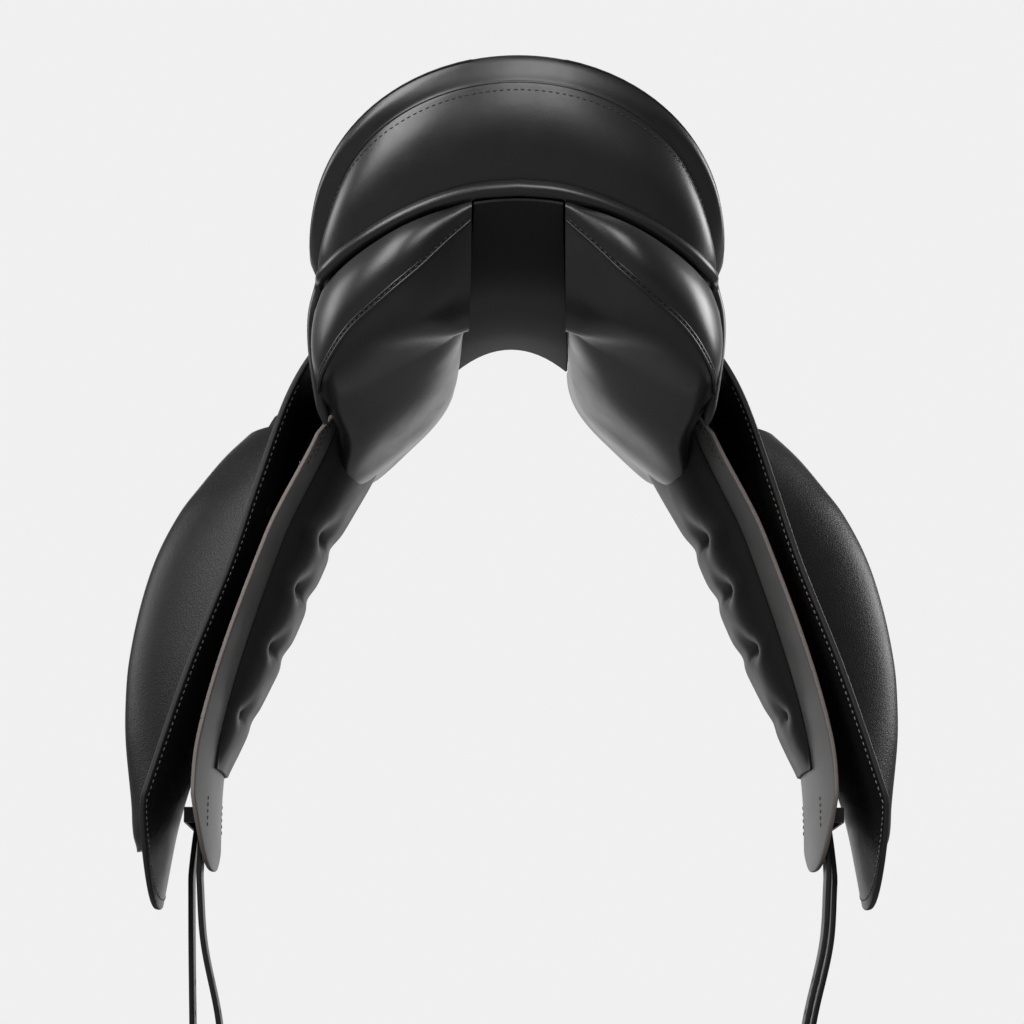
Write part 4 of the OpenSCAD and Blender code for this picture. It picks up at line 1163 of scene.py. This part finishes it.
class SADDLE_OT_knee_pads(bpy.types.Operator):
    """Tufted lower panels on the sweat flaps"""
    bl_idname = "saddle.knee_pads"
    bl_label = "Knee pads"

    rows, cols, back_cols = 110, 46, 12
    hidden_rise = 0.32
    least_t, stand = 1.5, 0.8
    # Depth, reach along and reach down of a tuft's hollow, its button's pull and its crease
    hollow, pull, crease = (7, 17, 11), (4, 3.5, 3.5), (1.2, 24, 2.5)
    crease_slope = 0.35
    groove_depth, groove_reach = 3.5, 8
    button_r = 0.0036

    def execute(self, context):
        shape = shape_of(context)
        material = finish(context, "Strap leather")
        for side, sign in SIDES.items():
            self.add_pad(shape, side, sign, material)
        return {"FINISHED"}

    def dimple(self, shape, y, z):
        depth = 0.0
        for k in range(shape.tufts):
            dy, dz = y - shape.tuft_y, z - shape.tuft_z(k)
            for deep, along, down in (self.hollow, self.pull):
                depth += deep * math.exp(-((dy / along) ** 2) - (dz / down) ** 2)
            depth += self.groove_depth * math.exp(-((dz / self.groove_reach) ** 2))
            deep, along, down = self.crease
            depth += deep * math.exp(-(((dz + self.crease_slope * dy) / down) ** 2) - (dy / along) ** 2)
        return depth

    def add_pad(self, shape, side, sign, material):
        def at(a, b, inner):
            y = lerp(*shape.pad_edges(b), a)
            z = lerp(*shape.pad_span, b)
            x = shape.sweat_x(y, z) - self.stand
            if inner:
                full = shape.pad_t * curve(shape.pad_profile, clamp(b))
                full *= math.sqrt(max(0.0, 1 - abs(2 * a - 1) ** 4))
                x -= max(self.least_t, full - self.dimple(shape, y, z) * min(1.0, full / shape.pad_t))
            return (sign * x, y, z)
        rings = []
        for i in range(self.rows + 1):
            b = lerp(-self.hidden_rise, 1, i / self.rows)
            ring = [at((j / self.cols) ** 1.15, b, True) for j in range(self.cols + 1)]
            ring += [at(1 - j / self.back_cols, b, False) for j in range(self.back_cols + 1)]
            rings.append(ring)
        pad = tube(f"knee_pad_{side}_leather", rings, material)
        settle(pad, "saddle", "smooth_leather", f"knee_pad_{side}")
        self.add_buttons(shape, side, at, material)

    def add_buttons(self, shape, side, at, material):
        """The leather buttons that are drawn into the tufts of a pad."""
        buttons = []
        for k in range(shape.tufts):
            b = (shape.tuft_z(k) - shape.pad_span[0]) / (shape.pad_span[1] - shape.pad_span[0])
            low, high = shape.pad_edges(b)
            centre = Vector(at((shape.tuft_y - low) / (high - low), b, True)) * MM
            deselect()
            bpy.ops.mesh.primitive_uv_sphere_add(segments=14, ring_count=8, radius=self.button_r,
                                                 location=centre)
            bpy.context.object.scale = (0.5, 1, 1)
            buttons.append(bpy.context.object)
        joined = join(buttons)
        joined.name = f"knee_pad_{side}_buttons"
        joined.data.materials.append(material)
        smooth_faces(joined, 80)
        settle(joined, "saddle", "smooth_leather")


class SADDLE_OT_sweat_flaps(bpy.types.Operator):
    """Sweat flaps between the panels and the flaps"""
    bl_idname = "saddle.sweat_flaps"
    bl_label = "Sweat flaps"

    edge_rows = ((0.024, 0.014), (0.05, 0.028))
    edge_end = 0.1
    keeper_rows = (8.0, 102.0)
    keeper_span = (-316.0, -342.0)

    def execute(self, context):
        shape = shape_of(context)
        for side, sign in SIDES.items():
            self.add_flap(context, shape, side, sign)
        return {"FINISHED"}

    def add_flap(self, context, shape, side, sign):
        def at(y, z):
            return (sign * shape.sweat_x(y, z), y, z)

        def place(u, v):
            return at(*shape.sweat_yz(u, v))
        # The flap's light grey face is a painted reflection.
        # The flap's pale rim is a painted edge highlight.
        flap = leather_sheet(f"sweat_flap_{side}_leather", 60, 40, place, shape.sweat_t, (-sign, 0, 0),
                             [finish(context, "Sweat leather with painted sheen"), finish(context, "Painted edge highlight")])
        settle(flap, "saddle", "strap_leather", f"sweat_flap_{side}")
        lines = []
        for inset, down in self.edge_rows:
            path = [(lerp(0.3, inset, i / 24), down) for i in range(25)]
            path += [(inset, lerp(down, self.edge_end, i / 12)) for i in range(1, 13)]
            lines.append(surface_line(place, (-sign, 0, 0), path))
        for y in self.keeper_rows:
            path = [(y, lerp(*self.keeper_span, i / 8)) for i in range(9)]
            lines.append(surface_line(at, (-sign, 0, 0), path))
        sew(context, f"sweat_flap_{side}_stitches", lines, "Dark thread", "saddle", "strap_leather")


class SADDLE_OT_flaps(bpy.types.Operator):
    """Flaps with their heads under the seat, and their edge stitching"""
    bl_idname = "saddle.flaps"
    bl_label = "Flaps"

    notch_y = (70.0, 190.0)
    notch_x = 84.0
    notch_z = 22.0
    head_share = 0.14
    head_drop = 4.5
    stitch_inset, stitch_top, stitch_low, stitch_foot = 0.026, 0.08, 0.96, 0.982
    stitch_front_top = 0.1
    slot_at = (5.0, -90.0)
    slot_r, slot_rim_r, slot_flat = 0.0055, 0.0013, 0.62

    def execute(self, context):
        shape = shape_of(context)
        leather, edge = finish(context, "Grained leather"), finish(context, "Cut edge")
        for side, sign in SIDES.items():
            self.add_flap(context, shape, side, sign, leather, edge)
        return {"FINISHED"}

    def add_flap(self, context, shape, side, sign, leather, edge):
        def hang(u, b):
            y, z = shape.flap_yz(u, b)
            return (sign * shape.flap_x(y, z), y, z)

        def place(u, v):
            if v >= self.head_share:
                return hang(u, (v - self.head_share) / (1 - self.head_share))
            x1, y, z1 = hang(u, 0)
            x0, z0 = shape.tree_edge(y)
            t = v / self.head_share
            return (lerp(sign * x0, x1, t), y, lerp(z0 - self.head_drop, z1, math.sin(math.pi / 2 * t)))

        def keep(x, y, z):
            return not (self.notch_y[0] < y < self.notch_y[1] and abs(x) > self.notch_x and z > self.notch_z)
        flap = leather_sheet(f"flap_{side}_leather", 84, 60, place, shape.flap_t, (-sign, 0, 0),
                             [leather, edge], keep)
        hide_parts(f"flap_{side}", f"flap_head_{side}")
        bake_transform(flap)
        lines = []
        for towards, off in ((-sign, 0), (sign, shape.flap_t)):
            def face(u, b):
                x, y, z = hang(u, b)
                return (x + sign * off, y, z)
            front = 1 - self.stitch_inset
            path = [(self.stitch_inset, lerp(self.stitch_top, self.stitch_low, i / 80)) for i in range(81)]
            path += [(lerp(self.stitch_inset, front, i / 50), self.stitch_foot) for i in range(51)]
            path += [(front, lerp(self.stitch_low, self.stitch_front_top, i / 80)) for i in range(81)]
            lines.append(surface_line(face, (towards, 0, 0), path))
        sew(context, f"flap_{side}_stitches", lines, "Pale thread", f"flap_{side}_body", "grained_leather")
        self.add_slot(context, shape, side, sign)

    def add_slot(self, context, shape, side, sign):
        """The bound oval slot on the inner face of a flap."""
        y, z = self.slot_at
        deselect()
        bpy.ops.mesh.primitive_torus_add(major_segments=28, minor_segments=8, major_radius=self.slot_r,
                                         minor_radius=self.slot_rim_r, location=(0, 0, 0),
                                         rotation=(0, math.pi / 2, 0))
        rim = context.object
        rim.name = f"flap_{side}_slot"
        rim.scale = (1.0, 1.0, self.slot_flat)
        bpy.ops.object.transform_apply(location=True, rotation=True, scale=True)
        for vertex in rim.data.vertices:
            point = vertex.co / MM
            vertex.co = Vector((sign * shape.flap_x(y + point.y, z + point.z) + point.x, y + point.y,
                                z + point.z)) * MM
        rim.data.materials.append(finish(context, "Strap leather"))
        smooth_faces(rim, 80)
        settle(rim, f"flap_{side}_body", "strap_leather")


class SADDLE_OT_thigh_blocks(bpy.types.Operator):
    """Thigh blocks on the outer faces of the flaps"""
    bl_idname = "saddle.thigh_blocks"
    bl_label = "Thigh blocks"

    rows, cols, inner_step = 90, 40, 4
    stitch_rows = (4.0, 7.5)
    stitch_top, stitch_drop = 0.02, 0.6
    stand, least_t = 0.4, 1.5

    def execute(self, context):
        shape = shape_of(context)
        material = finish(context, "Grained leather")
        for side, sign in SIDES.items():
            self.add_block(shape, side, sign, material)
            self.add_stitches(context, shape, side, sign)
        return {"FINISHED"}

    def add_stitches(self, context, shape, side, sign):
        """Two rows of stitches on the flap, round the rear side and foot of the block."""
        def at(y, z):
            return (sign * (shape.flap_x(y, z) + shape.flap_t), y, z)
        lines = []
        for off in self.stitch_rows:
            path = []
            for i in range(71):
                b = lerp(self.stitch_top, 1, i / 70)
                path.append((shape.block_y(0, b) - off, lerp(*shape.block_span, b)))
            path[-1] = (path[-1][0], shape.block_span[1] - off * self.stitch_drop)
            lines.append(surface_line(at, (sign, 0, 0), path))
        sew(context, f"thigh_block_{side}_stitches", lines, "Dark thread", f"flap_{side}_body",
            "grained_leather")

    def add_block(self, shape, side, sign, material):
        rings = []
        for i in range(self.rows + 1):
            e = i / self.rows
            b = lerp(e, (1 - math.cos(math.pi * e)) / 2, 0.7)
            z = lerp(*shape.block_span, b)
            outer, inner = [], []
            for j in range(self.cols + 1):
                a = j / self.cols
                y = shape.block_y(a, b)
                base = shape.flap_x(y, z) + shape.flap_t + self.stand
                full = shape.block_t * curve(shape.block_profile, b) * math.sin(math.pi * a) ** 0.7
                outer.append((sign * (base + self.least_t + full), y, z))
                if j % self.inner_step == 0:
                    inner.append((sign * base, y, z))
            rings.append(outer + inner[::-1])
        block = tube(f"thigh_block_{side}_leather", rings, material)
        settle(block, f"flap_{side}_body", "grained_leather", f"thigh_block_{side}")


class SADDLE_OT_skirts(bpy.types.Operator):
    """Skirts over the stirrup bars and their heads under the seat"""
    bl_idname = "saddle.skirts"
    bl_label = "Skirts"

    thickness = 3.2
    first_drop = 9.0
    turn_share = 0.3
    turn_r = 8.0
    turn_from = math.radians(54)
    corner_rise = 28
    stand = (5, 0.8)
    head_out, head_up, head_lap, head_gap, head_belly = 9, 11, 3, 0.4, 2

    def execute(self, context):
        shape = shape_of(context)
        leather, edge = finish(context, "Grained leather"), finish(context, "Cut edge")
        for side, sign in SIDES.items():
            self.add_skirt(shape, side, sign, leather, edge)
            self.add_head(shape, side, sign, leather, edge)
        return {"FINISHED"}

    def add_skirt(self, shape, side, sign, leather, edge):
        def hang(y, u, b):
            low = shape.skirt_len - self.corner_rise * abs(2 * u - 1) ** 3
            z = shape.hinge[1] - lerp(self.first_drop, low, b)
            return shape.flap_x(y, z) + shape.flap_t + lerp(*self.stand, b) + self.thickness, z

        def place(u, v):
            y = lerp(*shape.skirt_ends, u)
            if v >= self.turn_share:
                x, z = hang(y, u, (v - self.turn_share) / (1 - self.turn_share))
                return (sign * x, y, z)
            x, z = hang(y, u, 0)
            out, up = x - shape.hinge[0], z - shape.hinge[1]
            t = v / self.turn_share
            r = lerp(self.turn_r, math.hypot(out, up), smooth((t - 0.75) / 0.25))
            q = lerp(self.turn_from, math.atan2(up, out), min(1.0, t / 0.8))
            return (sign * (shape.hinge[0] + r * math.cos(q)), y, shape.hinge[1] + r * math.sin(q))
        skirt = leather_sheet(f"skirt_{side}_leather", 32, 44, place, self.thickness, (sign, 0, 0),
                              [leather, edge])
        settle(skirt, f"skirt_{side}_body", "grained_leather", f"skirt_{side}")

    def add_head(self, shape, side, sign, leather, edge):
        foot_x, foot_z = shape.hinge[0] + self.head_out, shape.hinge[1] + self.head_up

        def place(u, v):
            y = lerp(*shape.skirt_ends, u)
            top_z = shape.edge_z(y) - shape.roll_hang(y) - self.head_gap
            return (sign * lerp(shape.half_w(y) - self.head_lap, foot_x, v), y,
                    lerp(top_z, foot_z, v) + self.head_belly * math.sin(math.pi * v) ** 2)
        head = leather_sheet(f"skirt_head_{side}_leather", 14, 44, place, self.thickness, (sign * 0.2, 0, 1),
                             [leather, edge])
        settle(head, "saddle", "grained_leather", f"skirt_head_{side}")


class SADDLE_OT_billets(bpy.types.Operator):
    """Long billets with their holes"""
    bl_idname = "saddle.billets"
    bl_label = "Billets"

    holes = 9
    pitch = 25.0
    hole_r = 2.75
    first_hole = 40.0
    punch_depth = 0.02
    tip_len, tip_w = 16, 0.15

    def execute(self, context):
        shape = shape_of(context)
        leather = finish(context, "Strap leather")
        for side, sign in SIDES.items():
            for row in shape.billet_rows:
                self.add_billet(shape, row, side, sign, leather)
        return {"FINISHED"}

    def add_billet(self, shape, row, side, sign, leather):
        hinge_z, foot_z, half = shape.billet_hinge_z, shape.billet_foot_z, shape.billet_w / 2
        hang = shape.hang[row, side]
        hinge_x = shape.billet_x(row, hinge_z)

        def inner_x(z):
            return shape.billet_x(row, z) if z > hinge_z else hinge_x + curve(hang, hinge_z - z)

        def place(u, v):
            z = lerp(shape.billet_top_z, foot_z, v)
            wide = math.sqrt(lerp(self.tip_w, 1, clamp((z - foot_z) / self.tip_len)))
            return (sign * inner_x(z), shape.billet_rows[row] + half * (2 * u - 1) * wide, z)
        strap = leather_sheet(f"billet_{row}_{side}_leather", 150, 6, place, shape.billet_t, (-sign, 0, 0),
                              [leather])
        heights = [foot_z + self.first_hole + self.pitch * i for i in range(self.holes)]
        self.punch(strap, [(sign * (inner_x(z) + shape.billet_t / 2), shape.billet_rows[row], z)
                           for z in heights])
        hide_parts(f"billet_{row}_{side}", f"billet_strap_{row}_{side}")
        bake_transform(strap)

    def punch(self, strap, centres):
        """Cuts round holes through a strap."""
        punches = []
        for centre in centres:
            deselect()
            bpy.ops.mesh.primitive_cylinder_add(vertices=20, radius=self.hole_r * MM, depth=self.punch_depth,
                                                location=Vector(centre) * MM, rotation=(0, math.pi / 2, 0))
            punches.append(bpy.context.object)
        tool = join(punches)
        apply_modifier(strap, "Holes", "BOOLEAN", object=tool, operation="DIFFERENCE", solver="EXACT")
        bpy.data.objects.remove(tool)
        smooth_faces(strap, 40)


class SADDLE_OT_hardware(bpy.types.Operator):
    """Finishes of the tree, steel pieces, webs, keepers and chapes"""
    bl_idname = "saddle.hardware"
    bl_label = "Tree and hardware"

    finishes = (("tree", "Tree wood"), ("gullet_plate", "Steel"), ("point_rivets", "Steel"),
                ("bar_rivets", "Steel"), ("stirrup_bar", "Steel"), ("bar_catch", "Steel"),
                ("catch_pin", "Steel"), ("dee_ring", "Bright steel"), ("seat_webs", "Webbing"),
                ("billet_keeper", "Strap leather"), ("dee_chape", "Strap leather"))

    def execute(self, context):
        for name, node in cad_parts.items():
            for start, wanted in self.finishes:
                if name.startswith(start):
                    node.data.materials.clear()
                    node.data.materials.append(finish(context, wanted))
                    break
        return {"FINISHED"}


class SADDLE_PT_pieces(bpy.types.Panel):
    """Lists the pieces of the saddle"""
    bl_idname = "SADDLE_PT_pieces"
    bl_label = "Saddle"
    bl_space_type = "VIEW_3D"
    bl_region_type = "UI"
    bl_category = "Saddle"

    def draw(self, context):
        for operator in OPERATORS:
            self.layout.operator(operator.bl_idname)


OPERATORS = (SADDLE_OT_stage, SADDLE_OT_seat, SADDLE_OT_panels, SADDLE_OT_knee_pads, SADDLE_OT_sweat_flaps,
             SADDLE_OT_flaps, SADDLE_OT_thigh_blocks, SADDLE_OT_skirts, SADDLE_OT_billets, SADDLE_OT_hardware)
CLASSES = (SaddleSizes, SaddleColours) + OPERATORS + (SADDLE_PT_pieces,)


def register():
    for cls in CLASSES:
        bpy.utils.register_class(cls)
    bpy.types.Scene.saddle_sizes = bpy.props.PointerProperty(type=SaddleSizes)
    bpy.types.Scene.saddle_colours = bpy.props.PointerProperty(type=SaddleColours)


def unregister():
    del bpy.types.Scene.saddle_colours
    del bpy.types.Scene.saddle_sizes
    for cls in reversed(CLASSES):
        bpy.utils.unregister_class(cls)


def main():
    register()
    bpy.ops.saddle.stage()
    bpy.ops.saddle.seat()
    bpy.ops.saddle.panels()
    bpy.ops.saddle.knee_pads()
    bpy.ops.saddle.sweat_flaps()
    bpy.ops.saddle.flaps()
    bpy.ops.saddle.thigh_blocks()
    bpy.ops.saddle.skirts()
    bpy.ops.saddle.billets()
    bpy.ops.saddle.hardware()


if __name__ == "__main__":
    main()
